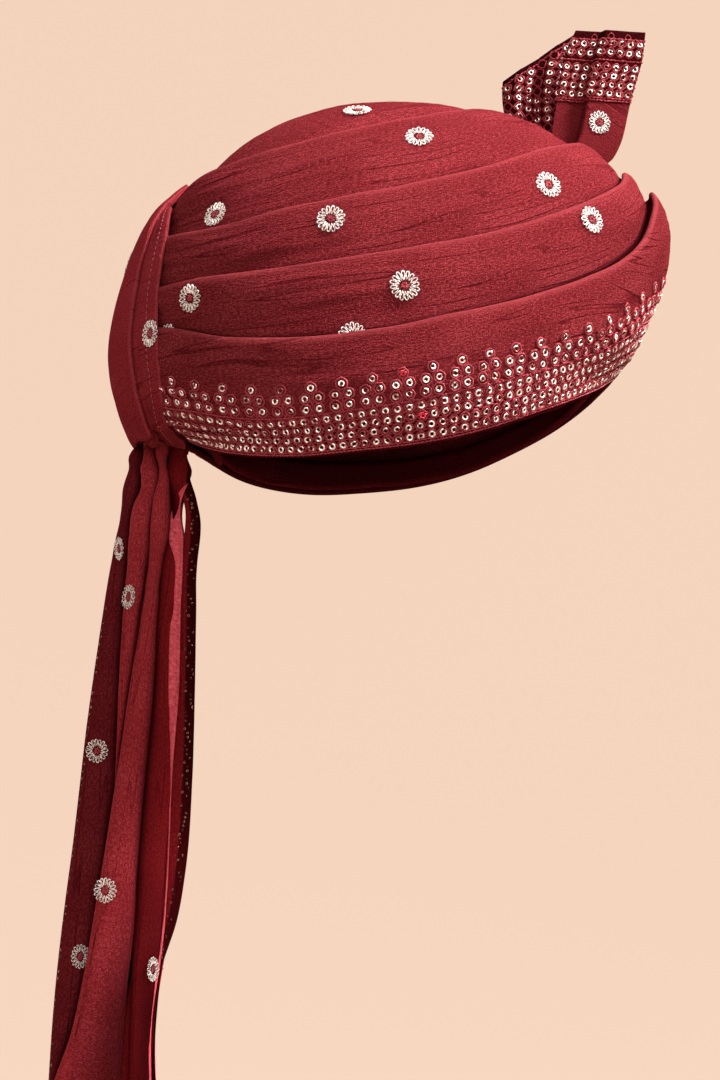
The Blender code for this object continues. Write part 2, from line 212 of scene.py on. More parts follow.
class NodeMaker:
    def __init__(self, tree):
        self.tree = tree

    def node(self, kind, settings=None, wires=None):
        # settings first, because they decide which sockets the node has
        node = self.tree.nodes.new(kind)
        for key, value in (settings or {}).items():
            setattr(node, key, value)
        pairs = wires.items() if isinstance(wires, dict) else enumerate(wires or [])
        for name, value in pairs:
            socket = findSocket(node.inputs, name)
            if isinstance(value, Wire):
                self.tree.links.new(value.socket, socket)
            elif isinstance(value, (tuple, list)) and socket.type == "RGBA":
                socket.default_value = (*value[:3], 1)
            else:
                socket.default_value = value
        return Outlets(self, node)

    def mix(self, factor, first, second, blend="MIX"):
        settings = {"data_type": "RGBA", "blend_type": blend}
        wires = {"Factor_Float": factor, "A_Color": first, "B_Color": second}
        return self.node("ShaderNodeMix", settings, wires)["Result_Color"]

    def attribute(self, name):
        settings = {"data_type": "FLOAT_VECTOR"}
        return self.node("GeometryNodeInputNamedAttribute", settings, {"Name": name})["Attribute"]

    def scaled(self, vector, scale):
        wires = {"Vector": vector, "Scale": scale}
        return self.node("ShaderNodeVectorMath", {"operation": "SCALE"}, wires)["Vector"]

    def shapeOf(self, thing):
        settings = {"transform_space": "ORIGINAL"}
        return self.node("GeometryNodeObjectInfo", settings, {"Object": thing})["Geometry"]

    def finish(self, instances, material):
        real = self.node("GeometryNodeRealizeInstances", {}, [instances])["Geometry"]
        wires = {"Geometry": real, "Material": material}
        painted = self.node("GeometryNodeSetMaterial", {}, wires)["Geometry"]
        self.node("NodeGroupOutput", {}, [painted])

    def stretched(self, place, scale):
        settings = {"operation": "MULTIPLY"}
        return self.node("ShaderNodeVectorMath", settings, [place, scale])["Vector"]

    def noise(self, place, scale=1.0, detail=2.0, rough=0.5):
        wires = {"Vector": place, "Scale": scale, "Detail": detail, "Roughness": rough}
        return self.node("ShaderNodeTexNoise", {"noise_dimensions": "3D"}, wires)["Fac"]


def newMaterial(name, uniform):
    # uniform values go straight onto the shader's own sockets
    material = bpy.data.materials.new(name)
    material.use_nodes = True
    shader = material.node_tree.nodes["Principled BSDF"]
    for key, value in uniform.items():
        socket = shader.inputs[key]
        socket.default_value = (*value, 1) if socket.type == "RGBA" else value
    return material, NodeMaker(material.node_tree), shader


def crepe(name, look):
    # crepe: a pebbled grain of pale and dark threads, fine ribs, thin creases darkened with painted shade, a
    # painted highlight along fold edges and painted shade under the folds
    material, maker, shader = newMaterial(name, {"Specular IOR Level": 0.0})
    cloth = maker.node("ShaderNodeUVMap", {"uv_map": "cloth"})["UV"]
    fold = maker.node("ShaderNodeAttribute", {"attribute_name": "fold"})["Fac"]
    broad = maker.noise(maker.stretched(cloth, (22, 40, 1)), detail=2)
    pebble = maker.noise(maker.stretched(cloth, look["pebble"]), detail=2, rough=0.65)
    crinkle = maker.noise(maker.stretched(cloth, look["crinkle"]), detail=1)
    ribs = maker.noise(maker.stretched(cloth, look["ribs"]), detail=1)
    grain = pebble.between(0.32, 0.68) * 0.66 + crinkle.between(0.32, 0.68) * 0.34
    drawn = maker.noise(maker.stretched(cloth, look["creases"]), detail=1)
    crease = (1 - (drawn - 0.5).math("ABSOLUTE").between(0.0, 0.022)) * broad.between(0.42, 0.58)
    ground = broad.between(0.3, 0.7) * 0.16 + (0.42 - look["grain"] * 0.5)
    # the thin creases lower the tone: painted shade in the creases, besides their bump
    tone = grain * look["grain"] + ground - crease * 0.3
    lower = maker.mix(tone.between(0.0, 0.5), look["deep"], look["base"])
    shaded = maker.mix(tone.between(0.5, 1.0), lower, look["light"])
    if "workHeight" in look:
        # the ground between the stitches of the border looks darker and denser
        height = maker.node("ShaderNodeSeparateXYZ", {}, [cloth])["Y"]
        worked = 1 - height.between(look["workHeight"] - 0.002, look["workHeight"] + 0.003)
        shaded = maker.mix(worked * 0.75, shaded, look["workColour"])
    # below zero the fold attribute paints the cloth near black: painted shade in gaps and under folds, and
    # also a few parts that are dark in their own colour
    paintedShadeAndDarkParts = maker.mix((0 - fold).between(0.05, 0.95) * 0.9, shaded, (0.008, 0.0005, 0.0008))
    # above zero it paints the pale thread colour along fold edges: a painted highlight, with a little of the
    # edge's own paler tone
    withPaintedHighlight = maker.mix(fold.between(0.15, 1.0) * look["foldPale"], paintedShadeAndDarkParts, look["light"])
    bumpHeight = pebble * 0.8 + crinkle * 0.7 + ribs * look["ribDepth"] - crease * 0.9
    bump = maker.node("ShaderNodeBump", {}, {
        "Strength": look["bump"], "Distance": 0.0008, "Height": bumpHeight})
    links = material.node_tree.links
    links.new(withPaintedHighlight.socket, shader.inputs["Base Color"])
    links.new((0.62 + pebble * 0.25).socket, shader.inputs["Roughness"])
    links.new(bump["Normal"].socket, shader.inputs["Normal"])
    return material


def thread(name, base, light, uniform, grain=2600.0):
    material, maker, shader = newMaterial(name, uniform)
    place = maker.node("ShaderNodeTexCoord")["Object"]
    strand = maker.noise(place, scale=grain, detail=1)
    patch = maker.noise(place, scale=120, detail=1)
    colour = maker.mix(strand.between(0.35, 0.65) * 0.8 + patch * 0.2, base, light)
    bump = maker.node("ShaderNodeBump", {}, {"Strength": 0.4, "Distance": 0.0002, "Height": strand})
    links = material.node_tree.links
    links.new(colour.socket, shader.inputs["Base Color"])
    links.new((0.42 + strand * 0.25).socket, shader.inputs["Roughness"])
    links.new(bump["Normal"].socket, shader.inputs["Normal"])
    return material


def ringMetal(name, base, dull, metallic):
    # thin plated rings: pale metal, with random red-brown patches painted on as a painted reflection of the
    # cloth
    material, maker, shader = newMaterial(name, {"Metallic": metallic})
    place = maker.node("ShaderNodeTexCoord")["Object"]
    patch = maker.noise(place, scale=430, detail=1)
    scuff = maker.noise(place, scale=2500, detail=2)
    colour = maker.mix(patch.between(0.43, 0.56), dull, base)
    bump = maker.node("ShaderNodeBump", {}, {"Strength": 0.25, "Distance": 0.0001, "Height": scuff})
    links = material.node_tree.links
    links.new(colour.socket, shader.inputs["Base Color"])
    links.new((0.16 + scuff * 0.22).socket, shader.inputs["Roughness"])
    links.new(bump["Normal"].socket, shader.inputs["Normal"])
    return material


maroon = {"base": (0.080, 0.0074, 0.0098), "deep": (0.027, 0.0020, 0.0030), "light": (0.175, 0.028, 0.033),
          "pebble": (1800, 2500, 1), "crinkle": (560, 1500, 1), "creases": (9, 130, 1),
          "ribs": (60, 700, 1), "ribDepth": 0.35, "grain": 1.0, "foldPale": 0.4, "bump": 0.7}
crownLook = dict(maroon, ribs=(900, 60, 1), pebble=(2500, 1700, 1))
borderLook = dict(maroon, workHeight=0.021, workColour=(0.016, 0.0007, 0.0014))
# a darker copy of the maroon crepe: painted shade on the turned-under hem
shadedHemLook = dict(maroon, base=(0.045, 0.003, 0.005), deep=(0.022, 0.0012, 0.002), light=(0.08, 0.009, 0.013))
# a lighter copy of the maroon crepe, with its own ribs and grain: painted light on the back band
litBandLook = dict(maroon, base=(0.120, 0.0104, 0.0145), deep=(0.045, 0.0033, 0.0050),
                ribs=(700, 60, 1), grain=0.8)
# the tail's looks are copies of one crepe with light and shade painted into their colour: this darker one is
# painted shade on the back fold, the lit one below is painted light on the outer and front pleats, and the
# red one, darker and redder, is painted shade on the inner fold and inner pleats
shadedTailLook = dict(maroon, base=(0.058, 0.0046, 0.0068), deep=(0.024, 0.0016, 0.0025),
                light=(0.11, 0.014, 0.018), pebble=(2500, 1800, 1), crinkle=(1400, 520, 1),
                ribs=(900, 120, 1), creases=(120, 6, 1), foldPale=0.5, grain=0.9)
litTailLook = dict(shadedTailLook, base=(0.142, 0.0115, 0.0155), deep=(0.065, 0.0043, 0.0063),
                   light=(0.24, 0.033, 0.041))
shadedRedTailLook = dict(shadedTailLook, base=(0.085, 0.0042, 0.0056), deep=(0.046, 0.0020, 0.0030),
                   light=(0.13, 0.009, 0.011))
hemPinkLook = dict(shadedTailLook, base=(0.32, 0.042, 0.058), deep=(0.21, 0.020, 0.030), light=(0.42, 0.085, 0.10))
fanLook = dict(maroon, grain=0.5)
# a darker copy of the maroon crepe: painted shade on the fan's back panel
shadedFanBackLook = dict(maroon, base=(0.034, 0.002, 0.0036), deep=(0.018, 0.0008, 0.0016))

cloths = {
    "crown": crepe("crownCrepe", crownLook), "pleat": crepe("pleatCrepe", maroon),
    "border": crepe("borderCrepe", borderLook), "hem": crepe("hemCrepe", shadedHemLook),
    "band": crepe("bandCrepe", litBandLook),
    "tail": crepe("tailCrepe", shadedTailLook), "litTail": crepe("litTailCrepe", litTailLook),
    "redTail": crepe("redTailCrepe", shadedRedTailLook), "hemPink": crepe("hemPinkCrepe", hemPinkLook),
    "fan": crepe("fanCrepe", fanLook), "fanBack": crepe("fanBackCrepe", shadedFanBackLook),
}
threads = {
    "red": thread("redThread", (0.080, 0.0045, 0.009), (0.32, 0.032, 0.050), {"Specular IOR Level": 0.2}),
    "bright": thread("brightThread", (0.30, 0.008, 0.018), (0.48, 0.035, 0.05), {"Specular IOR Level": 0.2}),
    "fan": thread("fanThread", (0.06, 0.0028, 0.0060), (0.28, 0.016, 0.028), {"Specular IOR Level": 0.2}),
    "silver": thread("silverThread", (0.075, 0.045, 0.042), (0.74, 0.68, 0.65), {"Metallic": 0.1},
                     grain=1500.0),
    "topstitch": thread("topstitchThread", (0.14, 0.028, 0.036), (0.25, 0.07, 0.08),
                        {"Specular IOR Level": 0.2}),
}
# each metal: its own colour, then the colour of its painted reflection of the cloth
metals = {
    "pale": ringMetal("paleRingMetal", (0.80, 0.74, 0.70), (0.20, 0.050, 0.048), 0.95),
    "dark": ringMetal("darkRingMetal", (0.20, 0.10, 0.07), (0.03, 0.012, 0.010), 0.95),
}
print("materials made:", len(cloths) + len(threads) + len(metals))


# cloth meshes

clothArea = {}


def layCloth(grid, ring):
    # distances along the cloth in both directions, in metres, for its UV map
    closed = np.concatenate([grid, grid[:, :1]], axis=1) if ring else grid
    middle = closed[len(closed) // 2]
    along = np.concatenate([[0], np.cumsum(np.linalg.norm(np.diff(middle, axis=0), axis=1))])
    steps = np.linalg.norm(np.diff(closed, axis=0), axis=2)
    down = np.concatenate([np.zeros((1, closed.shape[1])), np.cumsum(steps, axis=0)])
    uv = np.stack([np.broadcast_to(along, down.shape), down], axis=-1) * mm
    return closed, uv


def clothMesh(name, grid, wall, material, ring=False, fold=None, fromHem=False, cap=None):
    # a wall of one thickness round a grid of points; a ring's last column meets its first
    grid = np.asarray(grid, float)
    uv = layCloth(grid, ring)[1]
    if fromHem:
        uv[..., 1] = uv[-1:, :, 1] - uv[..., 1]
    rows, columns = grid.shape[:2]
    around = (np.roll(grid, -1, 1) - np.roll(grid, 1, 1)) if ring else np.gradient(grid, axis=1)
    square = np.cross(np.gradient(grid, axis=0), around)
    square /= np.maximum(np.linalg.norm(square, axis=2, keepdims=True), 1e-9)
    outer, inner = grid + square * wall / 2, grid - square * wall / 2
    points = [outer.reshape(-1, 3), inner.reshape(-1, 3)]
    size = rows * columns
    if cap is not None:
        points += [np.array([cap + (0, 0, wall / 2), cap - (0, 0, wall / 2)])]
    points = np.concatenate(points) * mm
    places = np.arange(size).reshape(rows, columns)
    if ring:
        places = np.concatenate([places, places[:, :1]], axis=1)
    uvRows, uvColumns = uv.shape[:2]
    uvPlaces = np.arange(uvRows * uvColumns).reshape(uvRows, uvColumns)

    def quads(table):
        corners = [table[:-1, :-1], table[1:, :-1], table[1:, 1:], table[:-1, 1:]]
        return np.stack(corners, axis=-1).reshape(-1, 4)

    faces = [quads(places), quads(places)[:, ::-1] + size]
    uvFaces = [quads(uvPlaces), quads(uvPlaces)[:, ::-1]]

    def rim(edge, uvEdge):
        faces.append(np.stack([edge[:-1], edge[1:], edge[1:] + size, edge[:-1] + size], axis=-1))
        uvFaces.append(np.stack([uvEdge[:-1], uvEdge[1:], uvEdge[1:], uvEdge[:-1]], axis=-1))

    rim(places[0], uvPlaces[0])
    if cap is None:
        rim(places[-1][::-1], uvPlaces[-1][::-1])
    if not ring:
        rim(places[::-1, 0], uvPlaces[::-1, 0])
        rim(places[:, -1], uvPlaces[:, -1])
    faceList = np.concatenate(faces).tolist()
    uvList = np.concatenate(uvFaces).reshape(-1).tolist()
    if cap is not None:
        last, lastUv = places[-1], uvPlaces[-1]
        for k in range(len(last) - 1):
            faceList.append([int(last[k]), 2 * size, int(last[k + 1])])
            faceList.append([int(last[k + 1]) + size, 2 * size + 1, int(last[k]) + size])
            uvList += [int(lastUv[k]), int(lastUv[k]), int(lastUv[k + 1])]
            uvList += [int(lastUv[k + 1]), int(lastUv[k]), int(lastUv[k])]
    mesh = bpy.data.meshes.new(name)
    mesh.from_pydata(points.tolist(), [], faceList)
    flatUv = uv.reshape(-1, 2)[uvList].astype(np.float32)
    mesh.uv_layers.new(name="cloth").data.foreach_set("uv", flatUv.ravel())
    # the fold attribute carries painted light and shade for the crepe: above zero a painted highlight, below
    # zero painted shade, and also a few parts that are dark in their own colour
    paintedLightAndShade = np.zeros(len(points), np.float32)
    if fold is not None:
        spread = np.broadcast_to(np.asarray(fold, float), (rows, columns)).ravel()
        paintedLightAndShade[:2 * size] = np.concatenate([spread, spread])
    mesh.attributes.new("fold", "FLOAT", "POINT").data.foreach_set("value", paintedLightAndShade)
    if signedVolume(points, faceList) < 0:
        mesh.flip_normals()
    mesh.shade_smooth()
    mesh.materials.append(material)
    thing = bpy.data.objects.new(name, mesh)
    bpy.context.scene.collection.objects.link(thing)
    clothArea[name] = sum(face.area for face in mesh.polygons) / 2
    return thing


def signedVolume(points, faces):
    total = 0.0
    fours = np.array([f for f in faces if len(f) == 4])
    a, b, c, d = (points[fours[:, k]] for k in range(4))
    total += np.einsum("ij,ij->", a, np.cross(b, c)) + np.einsum("ij,ij->", a, np.cross(c, d))
    return total


# the pleats round the dome

pleats = {
    "columns": 360, "rows": 40, "wall": 0.9,
    "foldProud": 1.35, "foldRadius": 0.85, "turnIn": 7.0, "tuckDepth": 2.1, "tuckLength": 6.0,
    "puff": 0.7, "frontProud": 2.2, "wrinkle": 0.5, "billow": 0.7, "edgeWander": 0.6,
}


def reliefAt(bearing, down, seed, wrinkle, billow):
    # tension wrinkles that run round the head, deeper towards the back, over a soft unevenness
    turn = np.radians(bearing)
    place = np.stack(np.broadcast_arrays(100 * np.cos(turn), 100 * np.sin(turn), down), axis=-1)
    folded = np.abs((bearing + 180) % 360 - 180)
    towardsBack = easeStep(75, 140, folded)
    drift = 0.05 * (bearing - 180) * np.sin(np.radians(bearing * 2 + 40 * seed))
    shifted = place + np.stack([0 * drift, 0 * drift, drift], axis=-1)
    fine = noiseField(shifted, (24, 24, 2.6), seed)
    drawn = noiseField(shifted, (48, 48, 4.6), seed + 2.2)
    wide = noiseField(place, (55, 55, 11), seed + 7.3)
    return wrinkle * (0.5 + 0.9 * towardsBack) * (fine + 1.5 * drawn) + billow * wide


def pleatGrid(topLine, lowLine, lowRise, seed, tucked=True, frontProud=0.0, s=pleats):
    bearing = np.arange(s["columns"]) * 360 / s["columns"]
    turn = np.radians(bearing)
    circle = np.stack([100 * np.cos(turn), 100 * np.sin(turn), 0 * turn], axis=-1)
    wander = s["edgeWander"] * noiseField(circle, (22, 22, 22), seed + 3.1)
    top = latitude(lineHeight(topLine, bearing) + wander)
    low = latitude(lineHeight(lowLine, bearing) + lineHeight(lowRise, bearing))
    scale = mmPerRadian(bearing, (top + low) / 2)
    length = (top - low) * scale
    front = np.maximum(0, np.cos(turn))
    fold = s["foldProud"] + frontProud * front**6
    end = -s["tuckDepth"] if tucked else 0.0
    radius = s["foldRadius"]
    lats, outs, paintedLightAndShade = [], [], []

    def addRow(lat, out, pale):
        lats.append(lat)
        outs.append(out + 0 * bearing)
        paintedLightAndShade.append(pale)

    # the fold value of each row: a painted highlight on the rolled top edge, fading down the pleat, painted
    # shade where the pleat runs under the next fold and on its hidden tuck, and a faint painted highlight on
    # the border's rolled lower edge
    for part in (1.0, 0.7, 0.45, 0.22):
        addRow(top - part * s["turnIn"] / scale, fold - 2 * radius, 0.0)
    for angle in np.radians(np.linspace(-90, 90, 8)):
        addRow(top - radius * (1 - math.cos(angle)) / scale, fold - radius + radius * math.sin(angle), 1.0)
    for k in range(1, s["rows"] + 1):
        t = (k / s["rows"]) ** 1.1
        lat = top - (radius + (length - radius) * t) / scale
        ease = t * t * (3 - 2 * t)
        swell = s["puff"] * math.sin(math.pi * t) ** 1.3
        relief = reliefAt(bearing, length * t, seed, s["wrinkle"], s["billow"])
        relief = relief * math.sin(math.pi * t) ** 0.45
        shade = np.minimum(1, 1.3 * np.exp(-length * (1 - t) / 1.5)) if tucked else 0.0
        addRow(lat, fold + (end - fold) * ease + swell + relief, np.exp(-length * t / 2.2) - shade)
    if tucked:
        shorten = 1 - 0.6 * front**4
        for part in (0.4, 1.0):
            hidden = latitude(lineHeight(lowLine, bearing) - s["tuckLength"] * shorten * part)
            addRow(hidden, end - 0.4 * part, -1.0)
    else:
        for angle in np.radians((30, 60, 90, 130, 180)):
            drop = radius * math.sin(angle)
            addRow(low - drop / scale, -radius * (1 - math.cos(angle)), 0.2)
        for part in (2.0, 5.0):
            addRow(low + part / scale, -2 * radius, 0.0)
    grid = onDome(bearing[None, :], np.array(lats), np.array(outs))
    pale = np.array([np.broadcast_to(p, bearing.shape) for p in paintedLightAndShade])
    return grid, pale


def pleat(name, topLine, lowLine, seed, material, lowRise="level", **extra):
    grid, pale = pleatGrid(topLine, lowLine, lowRise, seed, **extra)
    return clothMesh(name, grid, pleats["wall"], material, ring=True, fold=pale,
                     fromHem=not extra.get("tucked", True))


pleatUpper = pleat("pleatUpper", "upper", "middle", 1.7, cloths["pleat"])
pleatMiddle = pleat("pleatMiddle", "middle", "lower", 5.2, cloths["pleat"])
pleatLower = pleat("pleatLower", "lower", "border", 9.4, cloths["pleat"])
borderWrap = pleat("borderWrap", "border", "rim", 13.8, cloths["border"], lowRise="stitchRise",
                   tucked=False, frontProud=pleats["frontProud"])

crown = {"columns": 360, "rows": 40, "tuckDepth": 2.1, "smallest": 0.012, "relief": 0.35}


def crownGrid(s=crown):
    bearing = np.arange(s["columns"]) * 360 / s["columns"]
    edge = lineHeight("upper", bearing)
    fromTop = math.pi / 2 - latitude(edge)
    lats = [latitude(edge - pleats["tuckLength"] * part) for part in (1.0, 0.5)]
    outs = [-s["tuckDepth"] - 0.4 * part + 0 * bearing for part in (1.0, 0.5)]
    for share in np.linspace(1.0, s["smallest"], s["rows"]):
        lats.append(math.pi / 2 - fromTop * share)
        outs.append(-s["tuckDepth"] * easeStep(0.66, 1.0, share) + 0 * bearing)
    grid = onDome(bearing[None, :], np.array(lats), np.array(outs))
    depth = s["relief"] * noiseField(grid, (30, 12, 30), 21.0) + 0.15 * noiseField(grid, (9, 3.5, 9), 4.0)
    inside = easeStep(0, 8, np.arange(len(grid)))[:, None]
    grid[..., 2] += depth * inside
    return grid


domeCap = crownGrid()
capShade = -np.exp(-np.maximum(0, np.arange(len(domeCap)) - 2) / 1.0)[:, None]
crownCap = clothMesh("crownCap", domeCap, pleats["wall"], cloths["crown"], ring=True, fold=capShade,
                     cap=np.array([0, 0, domeCap[-1, :, 2].mean()]))

hem = {
    "wall": 0.9, "rows": 18, "depth": [(0, 9), (1, 4), (2, 1.2), (3, -0.3), (4, 0.6), (5, 4), (6, 13)],
    "out": [(0, -3.6), (1, -3.5), (2, -3.4), (3, -4.6), (4, -5.8), (5, -6.0), (6, -6.2)],
    "sagBearing": 158.0, "sagHalfWidth": 3.0, "sag": 9.0,
}


def hemGrid(s=hem):
    bearing = np.arange(pleats["columns"]) * 360 / pleats["columns"]
    rim = lineHeight("rim", bearing)
    sag = s["sag"] * np.exp(-((bearing - s["sagBearing"]) / s["sagHalfWidth"]) ** 4)
    turn = np.radians(bearing)
    circle = np.stack([100 * np.cos(turn), 100 * np.sin(turn), 0 * turn], axis=-1)
    wavy = 0.7 * noiseField(circle, (14, 14, 14), 2.0)
    lats, outs = [], []
    for at in np.linspace(0, 6, s["rows"]):
        rolled = math.exp(-((at - 3) / 1.3) ** 2)
        lats.append(latitude(rim + smooth(s["depth"], at) - (sag - wavy) * rolled))
        outs.append(smooth(s["out"], at) + 0 * bearing)
    return onDome(bearing[None, :], np.array(lats), np.array(outs))


underHem = clothMesh("underHem", hemGrid(), hem["wall"], cloths["hem"], ring=True)
print("dome pleats made")


# the strip that covers the pleats' ends down the back

band = {
    # (height, half width, distance out of the dome at its middle)
    "down": [(133, 6, 3.2), (127, 15, 4.2), (119, 26, 5.8), (107, 40, 6.3), (92, 48, 6.2), (77, 53, 6.2),
             (62, 57, 6.8), (50, 58.5, 6.8), (39, 57, 7.4), (30, 52, 8.6), (23, 42, 11.5)],
    "edgeProud": 2.5, "wall": 0.9, "rows": 110, "rimClearance": 2.4,
    "neckHeight": 14.4, "neckSlope": 0.2, "neckHalfWidth": 12.5, "neckBack": 114.5, "neckFront": 93.0,
    # the middle panel's folds: (place across, share of the half width, lift)
    "panel": [(0, 0.0, 1.0), (0.60, 0.64, 1.2), (0.66, 0.695, 0.9), (0.69, 0.71, 0.35), (0.72, 0.70, -0.2),
              (0.76, 0.67, -0.45), (0.79, 0.66, -0.8), (0.83, 0.69, -0.9), (0.92, 0.765, -0.5),
              (0.955, 0.785, -0.8), (0.975, 0.785, -1.3), (1.0, 0.75, -1.6)],
    # the edge strips: the same
    "strip": [(0, 0.76, -1.4), (0.12, 0.80, -0.5), (0.3, 0.86, -0.1), (0.7, 0.965, 0.0), (0.8, 0.995, -0.1),
              (0.85, 1.005, -0.5), (0.9, 0.995, -1.0), (1.0, 0.95, -1.2)],
    "stripTop": 2.0, "crease": 1.3, "panelColumns": 121, "stripColumns": 27, "lastRow": 13,
}


def bandBase(across, row, s=band):
    # a point of the strip's middle surface: across is -1 to 1, row is 0 to 10 on the dome and 13 at the neck
    across, row = np.broadcast_arrays(np.asarray(across, float), np.asarray(row, float))
    steps = np.arange(len(s["down"]))
    heights, halves, prouds = (list(zip(steps, values)) for values in zip(*s["down"]))
    on = np.minimum(row, 10.0)
    height, half, proud = smooth(heights, on), smooth(halves, on), smooth(prouds, on)
    lat = latitude(height)
    power = dome["squareness"]
    width = np.where(lat < 0, dome["halfWidth"] - dome["rimTuckIn"] * ((dome["widest"] - height) / 40) ** 2,
                     dome["halfWidth"] * np.cos(lat))
    reach = smooth(dome["backReach"], np.degrees(lat)) * np.cos(lat)
    back = reach * (1 - (half / width) ** power) ** (1 / power)
    turn = np.degrees(np.arctan2(half, back))
    out = s["edgeProud"] + (proud - s["edgeProud"]) * (1 - across**2)
    above = onDome(180 + turn * across, lat, out)
    angle = math.pi / 2 * across
    neck = np.stack([s["neckHalfWidth"] * np.sin(angle) * (1.15 - 0.15 * np.abs(across)),
                     s["neckFront"] + (s["neckBack"] - s["neckFront"]) * np.cos(angle),
                     s["neckHeight"] + s["neckSlope"] * (s["neckBack"] - s["neckFront"])
                     * (np.cos(angle) - 0.5)], axis=-1)
    t = np.clip((row - 10) / 3, 0, 1)
    ease = (t * t * (3 - 2 * t))[..., None]
    point = (1 - ease) * above + ease * neck
    point[..., 2] = above[..., 2] + (neck[..., 2] - above[..., 2]) * t
    bearing = np.degrees(np.arctan2(-point[..., 0], -point[..., 1]))
    rim = lineHeight("rim", bearing)
    flat = domePoint(bearing, latitude(point[..., 2]))
    needed = np.hypot(flat[..., 0], flat[..., 1]) + s["rimClearance"]
    radius = np.hypot(point[..., 0], point[..., 1])
    push = np.maximum(0, needed - radius) * easeStep(-6, -1, point[..., 2] - rim) * (row > 10)
    point[..., :2] *= (1 + push / radius)[..., None]
    return point


def bandSheet(shape, columns, side, fromRow=0.0, s=band):
    # side 0 makes the whole middle panel, -1 or 1 one edge strip
    share = [(q, u) for q, u, lift in shape]
    lifts = [(q, lift) for q, u, lift in shape]
    q = np.linspace(-1, 1, columns) if side == 0 else np.linspace(0, 1, columns)
    u = np.interp(np.abs(q), *zip(*share)) if side else smooth(share, np.abs(q))
    u = u * (np.sign(q) if side == 0 else side)
    lift = smooth(lifts, np.abs(q))
    rows = fromRow + (s["lastRow"] - fromRow) * np.linspace(0, 1, s["rows"]) ** 0.9
    u, row = np.meshgrid(u, rows)
    base = bandBase(u, row)
    acrossStep = bandBase(u + 0.01, row) - bandBase(u - 0.01, row)
    above, below = np.maximum(row - 0.05, 0), np.minimum(row + 0.05, s["lastRow"])
    downStep = bandBase(u, below) - bandBase(u, above)
    square = np.cross(acrossStep, downStep)
    square /= np.linalg.norm(square, axis=-1, keepdims=True)
    square *= np.sign(square[..., 1:2] + 1e-9) if side == 0 else 1
    closing = easeStep(11.8, s["lastRow"], row)
    gather = easeStep(7.5, 12.0, row) * (1 - 0.9 * closing)
    crease = s["crease"] * gather * np.sin(2 * math.pi * 3.4 * np.abs(u) + 0.8)
    relief = noiseField(base, (5, 5, 45), 31.0) * (0.35 + 0.5 * gather)
    relief = relief + 0.5 * noiseField(base, (16, 16, 60), 8.0)
    lifted = lift[None, :] * (1 + 0.3 * gather) + (crease + relief) * (1 if side == 0 else 0.6)
    lifted = lifted - 1.6 * closing
    return base + square * lifted[..., None], lift


panelGrid, panelLift = bandSheet(band["panel"], band["panelColumns"], 0)
# along the fold where the panel steps down it gets a painted highlight
backBand = clothMesh("backBand", panelGrid, band["wall"], cloths["band"],
                     fold=np.where((panelLift < 0.95) & (panelLift > 0.2), 0.8, 0.0)[None, :])
bandEdges = []
for side, word in ((-1, "Right"), (1, "Left")):
    stripGrid, stripLift = bandSheet(band["strip"], band["stripColumns"], side, band["stripTop"])
    # a painted highlight along each strip's ridge
    paintedRidgeHighlight = np.where(np.abs(np.linspace(0, 1, band["stripColumns"]) - 0.83) < 0.06, 0.8, 0.0)
    bandEdges.append(clothMesh("bandEdge" + word, stripGrid, band["wall"], cloths["band"],
                               fold=paintedRidgeHighlight[None, :]))
print("back band made")


# the tail's hanging sheets: edges are (height, Y); depth and bulge are at the neck and at the lower hem

tail = {
    "top": 20.0, "neck": 12.5, "hem": -298.0, "rows": 120, "columns": 21, "wall": 0.7,
    "backFold": {"edge": [(20, 111), (16.5, 113.6), (13, 117.2), (10.5, 118.6), (6, 119.2), (-6, 121),
                          (-40, 126.3), (-90, 134), (-160, 142), (-230, 150), (-298, 154)],
                 "legs": (9.0, 30.0), "depths": (3.0, 11.6), "towards": -1},
    "innerFold": {"edge": [(11.1, 93.5), (1, 92), (-6, 89), (-50, 88), (-96, 88.3), (-138, 89.4),
                           (-178, 92.2), (-201, 96), (-222, 102.5), (-250, 106), (-298, 108)],
                  "legs": (4.4, 14.0), "depths": (3.0, 9.2), "towards": 1},
    "outerPleat": {"back": [(11.1, 111.5), (0, 111.8), (-11, 115), (-36, 118), (-72, 120.5), (-107, 122),
                            (-160, 124), (-230, 130), (-298, 136)],
                   "front": [(11.1, 102.5), (-3, 102), (-24, 104.5), (-56, 108.5), (-84, 110.5), (-160, 113),
                             (-298, 121.5)], "depth": (4.8, 13.2), "bulge": (1.4, 3.4)},
    "frontPleat": {"back": [(11.1, 105.8), (-2.5, 104.2), (-8, 105.7), (-36, 108.4), (-72, 112.6),
                            (-104, 117.4), (-144, 123.4), (-189, 129.5), (-226, 135.6), (-252, 141.7),
                            (-269, 147.5), (-298, 153)],
                   "front": [(11.1, 100), (6, 101.6), (-3, 100), (-24, 99.5), (-34, 102), (-64, 105),
                             (-92, 106), (-138, 109.5), (-172, 112), (-206, 113.8), (-244, 118.5),
                             (-298, 123)],
                   "depth": (8.0, 18.4), "bulge": (2.0, 5.6)},
    "innerPleat": {"back": [(11.1, 99.6), (-24, 102), (-60, 107), (-107, 110.5), (-160, 111.5), (-212, 114),
                            (-298, 117)],
                   "front": [(11.1, 93), (4, 91.4), (-11, 95.6), (-31, 98.9), (-37, 97.4), (-76, 99),
                             (-149, 98), (-172, 100), (-208, 102), (-239, 105.5), (-257, 106.7),
                             (-298, 105)],
                   "depth": (4.8, 11.0), "bulge": (1.4, 3.4)},
    "wave": 1.7, "waveFade": 34.0, "ripple": 0.6,
}


def tailHeights(s=tail):
    t = np.linspace(0, 1, s["rows"])
    return s["top"] + (s["hem"] - s["top"]) * t**1.35


def downTail(height, pair, s=tail):
    t = np.clip((s["neck"] - height) / (s["neck"] - s["hem"]), 0, 1)
    return pair[0] + (pair[1] - pair[0]) * t**0.8


